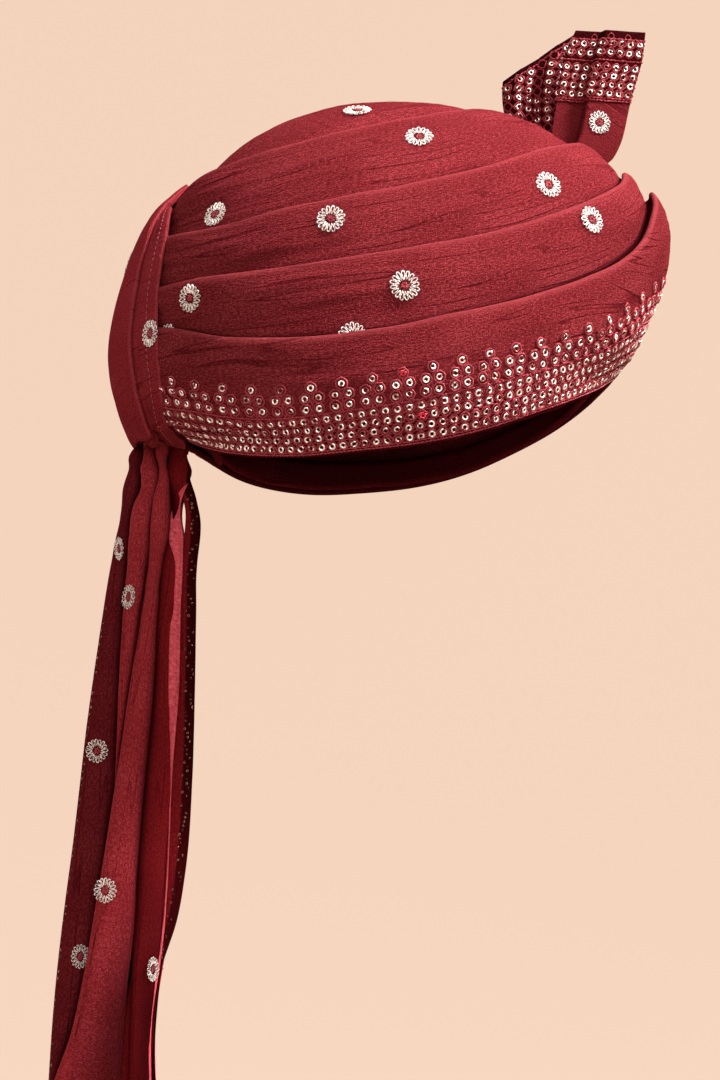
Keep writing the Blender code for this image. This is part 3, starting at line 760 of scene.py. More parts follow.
def tailWaves(grid, seed, s=tail):
    # small waves just under the gather, which die away into long soft folds
    fade = np.exp(-np.maximum(0, s["neck"] - grid[..., 2]) / s["waveFade"]) * easeStep(14, 4, grid[..., 2])
    small = noiseField(grid, (60, 5, 13), seed)
    soft = noiseField(grid, (80, 9, 120), seed + 5)
    return s["wave"] * fade * small * 2 + s["ripple"] * soft * easeStep(12, -40, grid[..., 2]) * 1.4


def tailPleatGrid(shape, side, seed, s=tail):
    height = tailHeights()[:, None]
    across = 0.5 - 0.5 * np.cos(math.pi * np.linspace(0, 1, s["columns"]))[None, :]
    back, front = smooth(shape["back"], height), smooth(shape["front"], height)
    rounded = (1 - np.abs(2 * across - 1) ** 2.6) ** (1 / 2.6)
    x = downTail(height, shape["depth"]) + downTail(height, shape["bulge"]) * rounded
    y = back + (front - back) * across
    grid = np.stack(np.broadcast_arrays(side * x, y, height + 0 * across), axis=-1)
    grid[..., 0] += side * tailWaves(grid, seed)
    grid[..., 1] += 1.0 * tailWaves(grid, seed + 11) * easeStep(12, 2, grid[..., 2])
    # a painted highlight along its back edge, and painted shade where the next pleat lies over it
    over = tail["frontPleat"]
    if shape is over:
        shade = 0.75 * np.exp(-(1 - across) * 4.5)
    elif shape is tail["outerPleat"]:
        shade = np.minimum(1, 1.2 * np.exp(-np.maximum(0, y - smooth(over["back"], height)) / 2.0))
    else:
        shade = np.minimum(1, 1.2 * np.exp(-np.maximum(0, smooth(over["front"], height) - y) / 2.0))
    # painted shade: the lower tail is painted darker, more so towards its front edge
    low = 0.9 * np.clip((-125 - height) / 115, 0, 1) * (0.3 + 0.7 * across)
    return grid, 0.9 * np.exp(-across * 16) - np.maximum(shade, low)


def tailFoldGrid(shape, seed, s=tail):
    height = tailHeights()[:, None]
    u = np.linspace(-1, 1, 2 * s["columns"] - 1)[None, :]
    u = np.sign(u) * np.abs(u) ** 1.3
    fold = smooth(shape["edge"], height)
    x = downTail(height, shape["depths"]) * np.sin(math.pi / 2 * np.clip(1.8 * u, -1, 1))
    y = fold + shape["towards"] * downTail(height, shape["legs"]) * np.abs(u) ** 1.6
    grid = np.stack(np.broadcast_arrays(x, y, height + 0 * u), axis=-1)
    grid[..., 0] += np.sign(u) * np.abs(u) ** 0.5 * tailWaves(grid, seed)
    grid[..., 1] += 0.6 * tailWaves(grid, seed + 11) * easeStep(12, 2, grid[..., 2])
    if shape is not tail["backFold"]:
        return grid, -0.88 * np.exp(-np.maximum(0, np.abs(y - fold) - 3.4) / 0.5)
    # the back fold: a painted highlight along its spine, and painted shade where the pleats lie over it
    over = np.maximum(smooth(tail["outerPleat"]["back"], height), smooth(tail["frontPleat"]["back"], height))
    return grid, 0.4 * np.exp(-np.abs(u) * 12) - np.minimum(1, 1.3 * np.exp(-np.maximum(0, y - over) / 2.4))


tailPieces = {}
for name, material, seed in (("backFold", "tail", 2.0), ("innerFold", "redTail", 6.0)):
    grid, pale = tailFoldGrid(tail[name], seed)
    title = "tail" + name[0].upper() + name[1:]
    tailPieces[title] = clothMesh(title, grid, tail["wall"], cloths[material], fold=pale)
for side, word in ((-1, "Right"), (1, "Left")):
    for name, material, seed in (("outerPleat", "litTail", 40.0), ("frontPleat", "litTail", 50.0),
                                 ("innerPleat", "redTail", 60.0)):
        grid, pale = tailPleatGrid(tail[name], side, seed + side)
        title = "tail" + name[0].upper() + name[1:] + word
        tailPieces[title] = clothMesh(title, grid, tail["wall"], cloths[material], fold=pale)

hemStrip = {
    # the turned hem seen from its back, as (height, Y) of its two edges; it narrows to a line
    "left": [(-3, 91.9), (-6, 94.8), (-10, 96.2), (-15, 98.4), (-30.5, 99.4), (-36.4, 97.4), (-60, 98.7),
             (-96, 99.4), (-130, 98.3), (-219, 103.0), (-239, 106.0), (-298, 105.6)],
    "right": [(-3, 91.5), (-10, 94.1), (-20, 94.6), (-25, 93.6), (-36, 93.4), (-60, 94.2), (-96, 94.7),
              (-130, 97.2), (-219, 102.2), (-239, 105.2), (-298, 104.8)],
    "out": 1.6, "wall": 0.5, "columns": 7,
}


def hemStripGrid(side, s=hemStrip):
    height = tailHeights()
    height = height[height < -2.5][:, None]
    across = np.linspace(0, 1, s["columns"])[None, :]
    left, right = smooth(s["left"], height), smooth(s["right"], height)
    shape = tail["innerPleat"]
    x = downTail(height, shape["depth"]) + s["out"] - 0.6 * across
    y = left + (right - left) * across
    grid = np.stack(np.broadcast_arrays(side * x, y, height + 0 * across), axis=-1)
    grid[..., 0] += side * 0.25 * noiseField(grid, (50, 3, 8), 3.0)
    return grid


hemStrips = [clothMesh("tailHemStrip" + word, hemStripGrid(side), hemStrip["wall"], cloths["hemPink"])
             for side, word in ((-1, "Right"), (1, "Left"))]
print("tail made")


# the fan at the crown

fan = {
    "rows": 60, "columns": 90, "wall": 0.8, "lift": 0.9,
    "front": {"back": [(-76.5, 161), (-77, 166), (-79.3, 180), (-80.8, 190), (-83.2, 200.5), (-88, 211)],
              "front": [(-101.5, 147), (-105.5, 151), (-109.5, 160), (-112.9, 175), (-116, 186), (-119, 197),
                        (-120.6, 210)],
              "depth": [(0, 3.5), (0.2, 4.6), (0.37, 5.2), (0.4, 3.2), (0.42, -1.4), (0.45, -2.0),
                        (0.62, -0.6), (0.82, 1.4), (1, 2.6)], "middle": 2.0},
    "back": {"back": [(-56.8, 170.5), (-55, 177), (-54.4, 184), (-54.6, 190)],
             "front": [(-82, 162), (-82, 176), (-84, 196), (-89, 212.6)],
             "depth": [(0, 16.5), (0.25, 10.8), (0.5, 15.6), (0.75, 10.0), (1, 13.0)], "middle": 13.2},
}


def treeOf(*things):
    # one search tree over several meshes, in metres
    points, faces = [], []
    for thing in things:
        start = len(points)
        points += [v.co.copy() for v in thing.data.vertices]
        faces += [[start + i for i in face.vertices] for face in thing.data.polygons]
    return BVHTree.FromPolygons(points, faces)


domeTree = treeOf(crownCap, pleatUpper, pleatMiddle, pleatLower, borderWrap)


def fanShade(grid, worked):
    # the worked part of a panel is darker, and its plain top hem darker still
    steps = np.linalg.norm(np.diff(grid[::-1], axis=0), axis=2)
    down = np.concatenate([np.zeros((1, grid.shape[1])), np.cumsum(steps, axis=0)])[::-1]
    return -0.62 * easeStep(worked + 0.8, worked - 0.8, down) - 0.25 * easeStep(4.2, 3.4, down)


def fanGrid(shape, s=fan):
    t = np.linspace(0, 1, s["rows"])[:, None]
    u = np.linspace(0, 1, s["columns"])[None, :]

    def edge(knots):
        places = np.linspace(0, 1, len(knots))
        return [smooth(list(zip(places, values)), t) for values in zip(*knots)]

    (backY, backZ), (frontY, frontZ) = edge(shape["back"]), edge(shape["front"])
    depth = np.interp(u, *zip(*shape["depth"]))
    x = shape["middle"] + (depth - shape["middle"]) * (0.9 - 0.45 * t)
    y, z = backY + (frontY - backY) * u, backZ + (frontZ - backZ) * u
    grid = np.stack(np.broadcast_arrays(x, y, z), axis=-1)
    grid[..., 0] += 0.5 * noiseField(grid, (14, 9, 20), 17.0)
    for row in grid:
        for point in row:
            hit = domeTree.ray_cast(Vector((point[0] * mm, point[1] * mm, 0.3)), Vector((0, 0, -1)))[0]
            if hit is not None:
                point[2] = max(point[2], hit.z / mm + s["lift"])
    return grid


fanGrids = {word: fanGrid(fan[word]) for word in ("front", "back")}
fanFront = clothMesh("fanFront", fanGrids["front"], fan["wall"], cloths["fan"],
                     fold=fanShade(fanGrids["front"], 36.0))
fanBack = clothMesh("fanBack", fanGrids["back"], fan["wall"], cloths["fanBack"],
                    fold=fanShade(fanGrids["back"], 90.0))
print("fan made")


# small shapes that are stamped many times

def stampMesh(name, points, faces):
    mesh = bpy.data.meshes.new(name)
    mesh.from_pydata([tuple(p) for p in points], [], faces)
    mesh.shade_smooth()
    thing = bpy.data.objects.new(name, mesh)
    bpy.context.scene.collection.objects.link(thing)
    return thing


def torusStamp(name, segments, profile, wobble=0.0, corners=6):
    # a ring whose section is a closed loop of (radius, height) points in mm
    points, faces = [], []
    count = len(profile)
    for i in range(segments):
        angle = 2 * math.pi * i / segments
        swell = 1 + wobble * math.cos(corners * angle)
        for radius, height in profile:
            reach = radius * swell * mm
            points.append((reach * math.cos(angle), reach * math.sin(angle), height * mm))
    for i in range(segments):
        j = (i + 1) % segments
        for a in range(count):
            b = (a + 1) % count
            faces.append((i * count + a, j * count + a, j * count + b, i * count + b))
    return stampMesh(name, points, faces)


def stitchStamp(name, length, width, height, segments=4, sides=5):
    # a plump thread stitch lying along X
    points, faces = [(-length / 2 * mm, 0, 0)], []
    for i in range(1, segments):
        x = -math.cos(math.pi * i / segments)
        girth = math.sqrt(max(0.0, 1 - x * x)) ** 0.7
        for k in range(sides):
            angle = 2 * math.pi * k / sides
            points.append((x * length / 2 * mm, math.cos(angle) * width / 2 * girth * mm,
                           (math.sin(angle) * height / 2 * girth + height * 0.3) * mm))
    points.append((length / 2 * mm, 0, 0))
    last = len(points) - 1
    for k in range(sides):
        n = (k + 1) % sides
        faces.append((0, 1 + n, 1 + k))
        for i in range(segments - 2):
            a, b = 1 + i * sides, 1 + (i + 1) * sides
            faces.append((a + k, a + n, b + n, b + k))
        faces.append((last, last - sides + k, last - sides + n))
    return stampMesh(name, points, faces)


def loopStamp(name, length, width, strand, segments=10, sides=4):
    # a drop-shaped loop of thread lying along X, wider at its +X end
    points, faces = [], []
    for i in range(segments):
        angle = 2 * math.pi * i / segments
        x, y = length / 2 * math.cos(angle), width / 2 * math.sin(angle) * (1 + 0.55 * math.cos(angle))
        out = Vector((math.cos(angle) / length, math.sin(angle) / width)).normalized()
        for k in range(sides):
            turn = 2 * math.pi * (k + 0.5) / sides
            reach = strand / 2 * (math.cos(turn) - 0.6)
            points.append(((x + out.x * reach) * mm, (y + out.y * reach) * mm,
                           (0.25 + strand / 2 * math.sin(turn)) * mm))
    for i in range(segments):
        j = (i + 1) % segments
        for a in range(sides):
            b = (a + 1) % sides
            faces.append((i * sides + a, j * sides + a, j * sides + b, i * sides + b))
    return stampMesh(name, points, faces)


def newTree(name, sockets):
    # sockets are (name, kind, starting value)
    tree = bpy.data.node_groups.new(name, "GeometryNodeTree")
    for title, kind, value in sockets:
        socket = tree.interface.new_socket(title, in_out="INPUT", socket_type="NodeSocket" + kind)
        if value is not None:
            socket.default_value = value
    tree.interface.new_socket("Geometry", in_out="OUTPUT", socket_type="NodeSocketGeometry")
    return tree


def scatterTree():
    # stamps one shape on every point, turned by the point's own "turn" and a little at random
    tree = newTree("scatterStamps", [
        ("Points", "Geometry", None), ("Stamp", "Object", None), ("Tilt", "Float", 0.2),
        ("Spin", "Float", 0.2), ("Size Spread", "Float", 0.06), ("Seed", "Int", 1),
        ("Material", "Material", None)])
    maker = NodeMaker(tree)
    given = maker.node("NodeGroupInput")
    turn, size = maker.attribute("turn"), maker.attribute("size")
    swing = maker.node("ShaderNodeCombineXYZ", {}, [given["Tilt"], given["Tilt"], given["Spin"]])["Vector"]
    back = maker.scaled(swing, -1.0)
    jitter = maker.node("FunctionNodeRandomValue", {"data_type": "FLOAT_VECTOR"},
                        {"Min": back, "Max": swing, "Seed": given["Seed"]})["Value"]
    turned = maker.node("FunctionNodeEulerToRotation", {}, [turn])["Rotation"]
    shaken = maker.node("FunctionNodeEulerToRotation", {}, [jitter])["Rotation"]
    rotation = maker.node("FunctionNodeRotateRotation", {"rotation_space": "LOCAL"},
                          {"Rotation": turned, "Rotate By": shaken})["Rotation"]
    spread = maker.node("FunctionNodeRandomValue", {"data_type": "FLOAT"},
                        {"Min": 1 - given["Size Spread"], "Max": 1 + given["Size Spread"],
                         "Seed": given["Seed"] + 7})["Value"]
    scale, stamp = maker.scaled(size, spread), maker.shapeOf(given["Stamp"])
    placed = maker.node("GeometryNodeInstanceOnPoints", {},
                        {"Points": given["Points"], "Instance": stamp, "Rotation": rotation,
                         "Scale": scale})["Instances"]
    maker.finish(placed, given["Material"])
    return tree


def flowerTree():
    # a ring of plump radial stitches, as one stamp
    tree = newTree("radialStitches", [
        ("Geometry", "Geometry", None), ("Stitch", "Object", None), ("Count", "Int", 17),
        ("Radius", "Float", 0.0044), ("Length Spread", "Float", 0.14), ("Lean", "Float", 0.25),
        ("Seed", "Int", 3), ("Material", "Material", None)])
    maker = NodeMaker(tree)
    given = maker.node("NodeGroupInput")
    wires = {"Vertices": given["Count"], "Radius": given["Radius"]}
    spots = maker.node("GeometryNodeMeshCircle", {}, wires)["Mesh"]
    index = maker.node("GeometryNodeInputIndex")["Index"]
    lean = maker.node("FunctionNodeRandomValue", {"data_type": "FLOAT"},
                      {"Min": given["Lean"] * -0.4, "Max": given["Lean"], "Seed": given["Seed"]})["Value"]
    angle = index * (2 * math.pi) / given["Count"] + lean
    flat = maker.node("ShaderNodeCombineXYZ", {}, {"Z": angle})["Vector"]
    rotation = maker.node("FunctionNodeEulerToRotation", {}, [flat])["Rotation"]
    spread = maker.node("FunctionNodeRandomValue", {"data_type": "FLOAT"},
                        {"Min": 1 - given["Length Spread"], "Max": 1 + given["Length Spread"],
                         "Seed": given["Seed"] + 5})["Value"]
    stretch = maker.node("ShaderNodeCombineXYZ", {}, [spread, 1.0, 1.0])["Vector"]
    stitch = maker.shapeOf(given["Stitch"])
    placed = maker.node("GeometryNodeInstanceOnPoints", {},
                        {"Points": spots, "Instance": stitch, "Rotation": rotation,
                         "Scale": stretch})["Instances"]
    maker.finish(placed, given["Material"])
    return tree


def stitchTree():
    # lays stitches end to end along a line that carries the cloth's own "up" at each point
    tree = newTree("runStitches", [
        ("Line", "Geometry", None), ("Stitch", "Object", None), ("Pitch", "Float", 0.002),
        ("Wander", "Float", 0.15), ("Seed", "Int", 1), ("Material", "Material", None)])
    maker = NodeMaker(tree)
    given = maker.node("NodeGroupInput")
    curve = maker.node("GeometryNodeMeshToCurve", {}, {"Mesh": given["Line"]})["Curve"]
    evened = maker.node("GeometryNodeResampleCurve", {"mode": "LENGTH"},
                        {"Curve": curve, "Length": given["Pitch"]})["Curve"]
    tangent = maker.node("GeometryNodeInputTangent")["Tangent"]
    up = maker.attribute("up")
    along = maker.node("FunctionNodeAlignRotationToVector", {"axis": "X"}, {"Vector": tangent})["Rotation"]
    upright = maker.node("FunctionNodeAlignRotationToVector", {"axis": "Z", "pivot_axis": "X"},
                         {"Rotation": along, "Vector": up})["Rotation"]
    sway = maker.node("FunctionNodeRandomValue", {"data_type": "FLOAT"},
                      {"Min": given["Wander"] * -1.0, "Max": given["Wander"],
                       "Seed": given["Seed"]})["Value"]
    flat = maker.node("ShaderNodeCombineXYZ", {}, {"Z": sway})["Vector"]
    shaken = maker.node("FunctionNodeEulerToRotation", {}, [flat])["Rotation"]
    rotation = maker.node("FunctionNodeRotateRotation", {"rotation_space": "LOCAL"},
                          {"Rotation": upright, "Rotate By": shaken})["Rotation"]
    stitch = maker.shapeOf(given["Stitch"])
    placed = maker.node("GeometryNodeInstanceOnPoints", {},
                        {"Points": evened, "Instance": stitch, "Rotation": rotation})["Instances"]
    maker.finish(placed, given["Material"])
    return tree


def runTree(name, carrier, tree, values, material=None):
    # runs a geometry tree on a carrier mesh and keeps the result as a plain mesh object
    modifier = carrier.modifiers.new("build", "NODES")
    modifier.node_group = tree
    for item in tree.interface.items_tree:
        if item.in_out == "INPUT" and item.name in values:
            modifier[item.identifier] = values[item.name]
    depsgraph = bpy.context.evaluated_depsgraph_get()
    mesh = bpy.data.meshes.new_from_object(carrier.evaluated_get(depsgraph))
    bpy.data.objects.remove(carrier, do_unlink=True)
    mesh.name = name
    mesh.shade_smooth()
    if material is not None:
        mesh.materials.clear()
        mesh.materials.append(material)
    thing = bpy.data.objects.new(name, mesh)
    bpy.context.scene.collection.objects.link(thing)
    return thing


def spotTurn(along, normal):
    # the turn that lays a stamp's X along the cloth and its Z out of it
    out = normal.normalized()
    side = out.cross(along).normalized()
    forward = side.cross(out)
    return Matrix((forward, side, out)).transposed().to_euler()


def scatter(name, spots, stamp, material, tilt=0.2, spin=0.2, spread=0.06, seed=1):
    # spots are (place, along, normal, size), in metres; size is one number or one for each direction
    mesh = bpy.data.meshes.new(name)
    mesh.from_pydata([tuple(s[0]) for s in spots], [], [])
    turns = np.array([tuple(spotTurn(s[1], s[2])) for s in spots], np.float32)
    mesh.attributes.new("turn", "FLOAT_VECTOR", "POINT").data.foreach_set("vector", turns.ravel())
    sizes = np.array([np.broadcast_to(s[3], 3) for s in spots], np.float32)
    mesh.attributes.new("size", "FLOAT_VECTOR", "POINT").data.foreach_set("vector", sizes.ravel())
    carrier = bpy.data.objects.new(name, mesh)
    bpy.context.scene.collection.objects.link(carrier)
    return runTree(name, carrier, trees["scatter"], {
        "Stamp": stamp, "Tilt": tilt, "Spin": spin, "Size Spread": spread, "Seed": seed,
        "Material": material})


def stitchLines(name, paths, stamp, pitch, material, wander=0.15, seed=1):
    # paths are lists of (place, normal), in metres
    points, edges, ups = [], [], []
    for path in paths:
        start = len(points)
        points += [tuple(place) for place, normal in path]
        ups += [tuple(normal) for place, normal in path]
        edges += [(start + i, start + i + 1) for i in range(len(path) - 1)]
    mesh = bpy.data.meshes.new(name)
    mesh.from_pydata(points, edges, [])
    upwards = np.array(ups, np.float32).ravel()
    mesh.attributes.new("up", "FLOAT_VECTOR", "POINT").data.foreach_set("vector", upwards)
    carrier = bpy.data.objects.new(name, mesh)
    bpy.context.scene.collection.objects.link(carrier)
    return runTree(name, carrier, trees["stitch"], {
        "Stitch": stamp, "Pitch": pitch, "Wander": wander, "Seed": seed, "Material": material})


trees = {"scatter": scatterTree(), "flower": flowerTree(), "stitch": stitchTree()}

stampSizes = {
    "ringOuter": 1.55, "ringHole": 0.72, "ringWall": 0.34, "ringSegments": 10,
    "circleRadius": 2.35, "circleThread": 0.40, "cellRadius": 2.15,
    "petalLength": 3.8, "petalWidth": 1.5, "petalStrand": 0.52, "petalCount": 16, "petalRadius": 4.25,
}


def makeStamps(s=stampSizes):
    outer, hole, wall = s["ringOuter"], s["ringHole"], s["ringWall"]
    middle = (outer + hole) / 2
    ring = [(hole, 0.1), (outer, 0.1), (outer + 0.05, 0.15 + wall * 0.5), (outer - 0.25, 0.2 + wall),
            (middle - 0.05, 0.2 + wall), (hole - 0.02, 0.15 + wall * 0.3)]
    r, w = s["circleRadius"], s["circleThread"]
    loop = [(r - w, 0.1), (r, 0.1 - w * 0.4), (r + w, 0.1), (r, 0.1 + w * 1.3)]
    c = s["cellRadius"]
    cell = [(c - w, 0.05), (c, -0.05), (c + w, 0.05), (c, 0.05 + w * 1.2)]
    return {
        "ring": torusStamp("ringStamp", s["ringSegments"], ring[::-1]),
        "circle": torusStamp("circleStamp", 12, loop[::-1], wobble=0.05, corners=6),
        "cell": torusStamp("cellStamp", 8, cell[::-1], wobble=0.10, corners=4),
        "chain": stitchStamp("chainStamp", 2.0, 0.75, 0.6),
        "fine": stitchStamp("fineStamp", 2.5, 0.42, 0.42, sides=4),
        "topstitch": stitchStamp("topstitchStamp", 1.7, 0.42, 0.4, sides=4),
        "petal": loopStamp("petalStamp", s["petalLength"], s["petalWidth"], s["petalStrand"]),
        "knot": stitchStamp("knotStamp", 1.9, 0.8, 0.7, sides=5),
    }


stamps = makeStamps()
flowerCarrier = stampMesh("petals", [(0, 0, 0)], [])
stamps["flower"] = runTree("flowerStamp", flowerCarrier, trees["flower"], {
    "Stitch": stamps["petal"], "Count": stampSizes["petalCount"], "Radius": stampSizes["petalRadius"] * mm,
    "Length Spread": 0.12, "Lean": 0.14, "Seed": 3})
knotCarrier = stampMesh("knots", [(0, 0, 0)], [])
stamps["centre"] = runTree("centreStamp", knotCarrier, trees["flower"], {
    "Stitch": stamps["knot"], "Count": 7, "Radius": 1.05 * mm, "Length Spread": 0.3, "Lean": 1.2, "Seed": 8})


# the embroidered border: where its rings, circles, cells and lines of stitches go

border = {
    "ringPitch": 4.95, "rowHeights": (3.4, 7.8, 12.2, 16.6), "chainHeights": (0.4, 1.5, 19.2),
    "waveHeights": (5.6, 10.0, 14.4), "treePitch": 12.25, "pairHeights": (22.2, 27.1), "pairHalf": 2.75,
    "peakHeight": 31.9, "ringStagger": 0.15, "stemStart": 19.5, "stemStop": 2.2,
    "coveredRings": [(-97, -12.8, 16), (-97, -1, 34), (96, -20, 20), (88, -50, 36)],
}


class RimSurface:
    # places on the border wrap: a distance round the rim and a height up the cloth, in mm
    def __init__(self):
        self.bearings = np.linspace(-180, 180, 1441)
        lat = self.latAt(self.bearings, 12.0)
        ring = domePoint(self.bearings, lat)
        self.round = np.concatenate([[0], np.cumsum(np.linalg.norm(np.diff(ring, axis=0), axis=1))])
        self.length = self.round[-1]
        self.tree = treeOf(borderWrap)

    def latAt(self, bearing, up):
        low = latitude(lineHeight("rim", bearing) + lineHeight("stitchRise", bearing))
        return low + (latitude(lineHeight("peak", bearing)) - low) * up / border["peakHeight"]

    def at(self, s, up):
        bearing = float(np.interp(s % self.length, self.round, self.bearings))
        lat = float(self.latAt(np.array(bearing), up))
        point = onDome(np.array([bearing, bearing + 0.8]), np.array([lat, lat]), np.array([4.0, 4.0])) * mm
        base = domePoint(np.array([bearing]), np.array([lat]))[0] * mm
        place, along = Vector(point[0]), Vector(point[1] - point[0])
        inwards = (Vector(base) - place).normalized()
        hit, normal = self.tree.ray_cast(place, inwards, 0.009)[:2]
        if hit is None:
            return None
        return hit, along.normalized(), -inwards.lerp(-normal, 0.5).normalized(), bearing


def hiddenByBand(point):
    # the back band covers this stretch of the border
    return point.y > 0.06 and abs(point.x) < bandHalfAt(point.z / mm) * mm


def bandHalfAt(height):
    heights, halves = zip(*[knot[:2] for knot in reversed(band["down"])])
    half = float(np.interp(height, heights, halves))
    return half - 2.0 if height > 23 else half * (height / 23)


def borderSpots(place, length, s=border):
    # one long pattern for any surface: place(s, up) gives (point, along, normal, ...) or None
    rings, cells, circles, thin = [], [], [], []
    count = round(length / s["ringPitch"])
    pitch = length / count
    for k in range(count):
        for j, up in enumerate(s["rowHeights"]):
            spot = place((k + s["ringStagger"] * (j % 2)) * pitch, up)
            if spot:
                rings.append((*spot[:3], 1.0))
                cells.append((*spot[:3], 1.0))
    treeCount = round(length / s["treePitch"])
    treePitch = length / treeCount
    for k in range(treeCount):
        centre = (k + 0.5) * treePitch
        places = [(centre + x, up) for up in s["pairHeights"] for x in (-s["pairHalf"], s["pairHalf"])]
        for x, up in places + [(centre, s["peakHeight"])]:
            spot = place(x, up)
            if spot:
                rings.append((*spot[:3], 1.0))
                circles.append((*spot[:3], 1.0))
        stem = [(centre, up) for up in np.arange(s["stemStart"], s["peakHeight"] - s["stemStop"], 1.5)]
        branches = [stem] + [[(centre, up - 2.4), (centre + x * 0.35, up - 1.2)]
                             for up in s["pairHeights"] for x in (-s["pairHalf"], s["pairHalf"])]
        thin += [path for path in (tracePath(place, branch) for branch in branches) if path]
    return rings, cells, circles, thin


def tracePath(place, stops):
    spots = [place(s, up) for s, up in stops]
    spots = [(spot[0], spot[2]) for spot in spots if spot]
    return spots if len(spots) > 1 else None


def lift(spots, rise):
    return [(place + normal.normalized() * rise * mm, along, normal, size)
            for place, along, normal, size in spots]


rimSurface = RimSurface()


def onBorder(s, up):
    spot = rimSurface.at(s, up)
    if spot is None or hiddenByBand(spot[0]):
        return None
    return spot


def longPaths(place, length, up, step=2.0, wave=0.0, wavePitch=5.4):
    # one line of stitches round the border, broken wherever it is covered
    paths, path = [], []
    for s in np.arange(0, length + step, step):
        spot = place(s, up + wave * math.sin(2 * math.pi * s / wavePitch))
        if spot:
            path.append((spot[0], spot[2]))
        elif len(path) > 1:
            paths.append(path)
            path = []
        else:
            path = []
    if len(path) > 1:
        paths.append(path)
    return paths


rings, cells, circles, thin = borderSpots(onBorder, rimSurface.length)
rimLines = [path for up in border["chainHeights"] for path in longPaths(onBorder, rimSurface.length, up)]
waves = [path for up in border["waveHeights"]
         for path in longPaths(onBorder, rimSurface.length, up, step=1.8, wave=0.7,
                               wavePitch=border["ringPitch"])]
loose = [Vector(place) * mm for place in border["coveredRings"]]
covered = [min(rings, key=lambda ring: (ring[0] - place).length) for place in loose]
rings = [ring for ring in rings if ring not in covered]
smallPieces = {
    "borderRings": scatter("borderRings", lift(rings, 0.1), stamps["ring"], metals["pale"],
                           tilt=0.26, spin=3.1, spread=0.05, seed=4),
    "borderKnots": scatter("borderKnots", lift(covered, 0.3), stamps["centre"], threads["bright"],
                           tilt=0.2, spin=3.1, seed=5),
    "borderCells": scatter("borderCells", cells, stamps["cell"], threads["red"],
                           tilt=0.05, spin=0.1, seed=6),
    "borderCircles": scatter("borderCircles", circles, stamps["circle"], threads["red"],
                             tilt=0.05, spin=1.0, seed=7),
    "borderStems": stitchLines("borderStems", thin, stamps["fine"], 1.6 * mm, threads["red"], seed=8),
    "borderChains": stitchLines("borderChains", rimLines, stamps["chain"], 1.75 * mm, threads["red"],
                                wander=0.3, seed=9),
    "borderWaves": stitchLines("borderWaves", waves, stamps["fine"], 2.0 * mm, threads["red"],
                               wander=0.2, seed=10),
}
print("border embroidery made:", len(rings), "rings")


# the fan's embroidery

class PanelSurface:
    # places on a fan panel: a share across it and a distance down from its top edge, in mm
    def __init__(self, grid):
        closed, uv = layCloth(grid[::-1], False)
        self.grid = closed
        self.down = uv[..., 1] / mm
        self.width = uv[0, -1, 0] / mm

    def at(self, across, down):
        column = across * (self.grid.shape[1] - 1)
        c = min(int(column), self.grid.shape[1] - 2)
        if not 0 <= down <= self.down[-1, c]:
            return None
        r = int(np.clip(np.searchsorted(self.down[:, c], down) - 1, 0, len(self.down) - 2))
        here = self.grid[r, c] + (self.grid[r, c + 1] - self.grid[r, c]) * (column - c)
        step = (down - self.down[r, c]) / max(self.down[r + 1, c] - self.down[r, c], 1e-6)
        here = here + (self.grid[r + 1, c] - self.grid[r, c]) * step
        along = self.grid[r, c + 1] - self.grid[r, c]
        drop = self.grid[r + 1, c] - self.grid[r, c]
        normal = np.cross(along, drop)
        normal /= np.linalg.norm(normal)
        return here, along, normal


# rows of rings and lines of stitches by their distance down from the top edge, in mm
fanWork = {
    "front": {"rows": (6.4, 10.8, 18.2, 22.4, 26.6, 30.8), "chains": (4.2, 14.6, 33.2, 34.3), "pitch": 5.0,
              "peaks": 3.0, "bare": 0.06},
    "back": {"rows": (5.4, 9.8, 14.2, 18.6, 23.0, 27.4, 31.8, 36.2, 40.6), "chains": (3.0,), "pitch": 5.0,
             "peaks": None, "bare": 0.22},
}


def fanSpots(word, side):
    surface, work = PanelSurface(fanGrids[word]), fanWork[word]
    count = round(surface.width / work["pitch"])
    rings, cells, lineSpots = [], [], []
    rng = random.Random(len(word) * 7 + side)

    def spotAt(across, down):
        found = surface.at(across, down)
        if found is None:
            return None
        here, along, normal = found
        if normal[0] * side < 0:
            normal = -normal
        place = here + normal * (fan["wall"] / 2 + 0.1)
        return Vector(place) * mm, Vector(along).normalized(), Vector(normal)

    for down in work["rows"]:
        for k in range(count):
            spot = spotAt((k + 0.5) / count, down)
            if spot:
                cells.append((*spot, 0.98))
                if rng.random() > work["bare"]:
                    rings.append((*spot, 0.92))
    for down in work["chains"]:
        path = [spotAt(a, down) for a in np.linspace(0.01, 0.99, 70)]
        path = [(p[0], p[2]) for p in path if p]
        if len(path) > 2:
            lineSpots.append(path)
    if work["peaks"]:
        for a in (0.3, 0.52, 0.76):
            spot = spotAt(a, work["peaks"])
            cells.append((*spot, 0.62))
    return rings, cells, lineSpots


for word in ("front", "back"):
    found = [fanSpots(word, side) for side in (-1, 1)]
    fanRings, fanCells, fanLines = ([item for part in found for item in part[k]] for k in range(3))
    title = "fan" + word.capitalize()
    smallPieces[title + "Rings"] = scatter(title + "Rings", fanRings, stamps["ring"], metals["pale"],
                                           tilt=0.3, spin=3.1, seed=14)
    smallPieces[title + "Cells"] = scatter(title + "Cells", fanCells, stamps["cell"], threads["fan"],
                                           tilt=0.05, spin=0.1, seed=15)
    smallPieces[title + "Chains"] = stitchLines(title + "Chains", fanLines, stamps["chain"], 1.75 * mm,
                                                threads["fan"], wander=0.3, seed=16)
print("fan embroidery made")


# the flower motifs scattered over the cloth

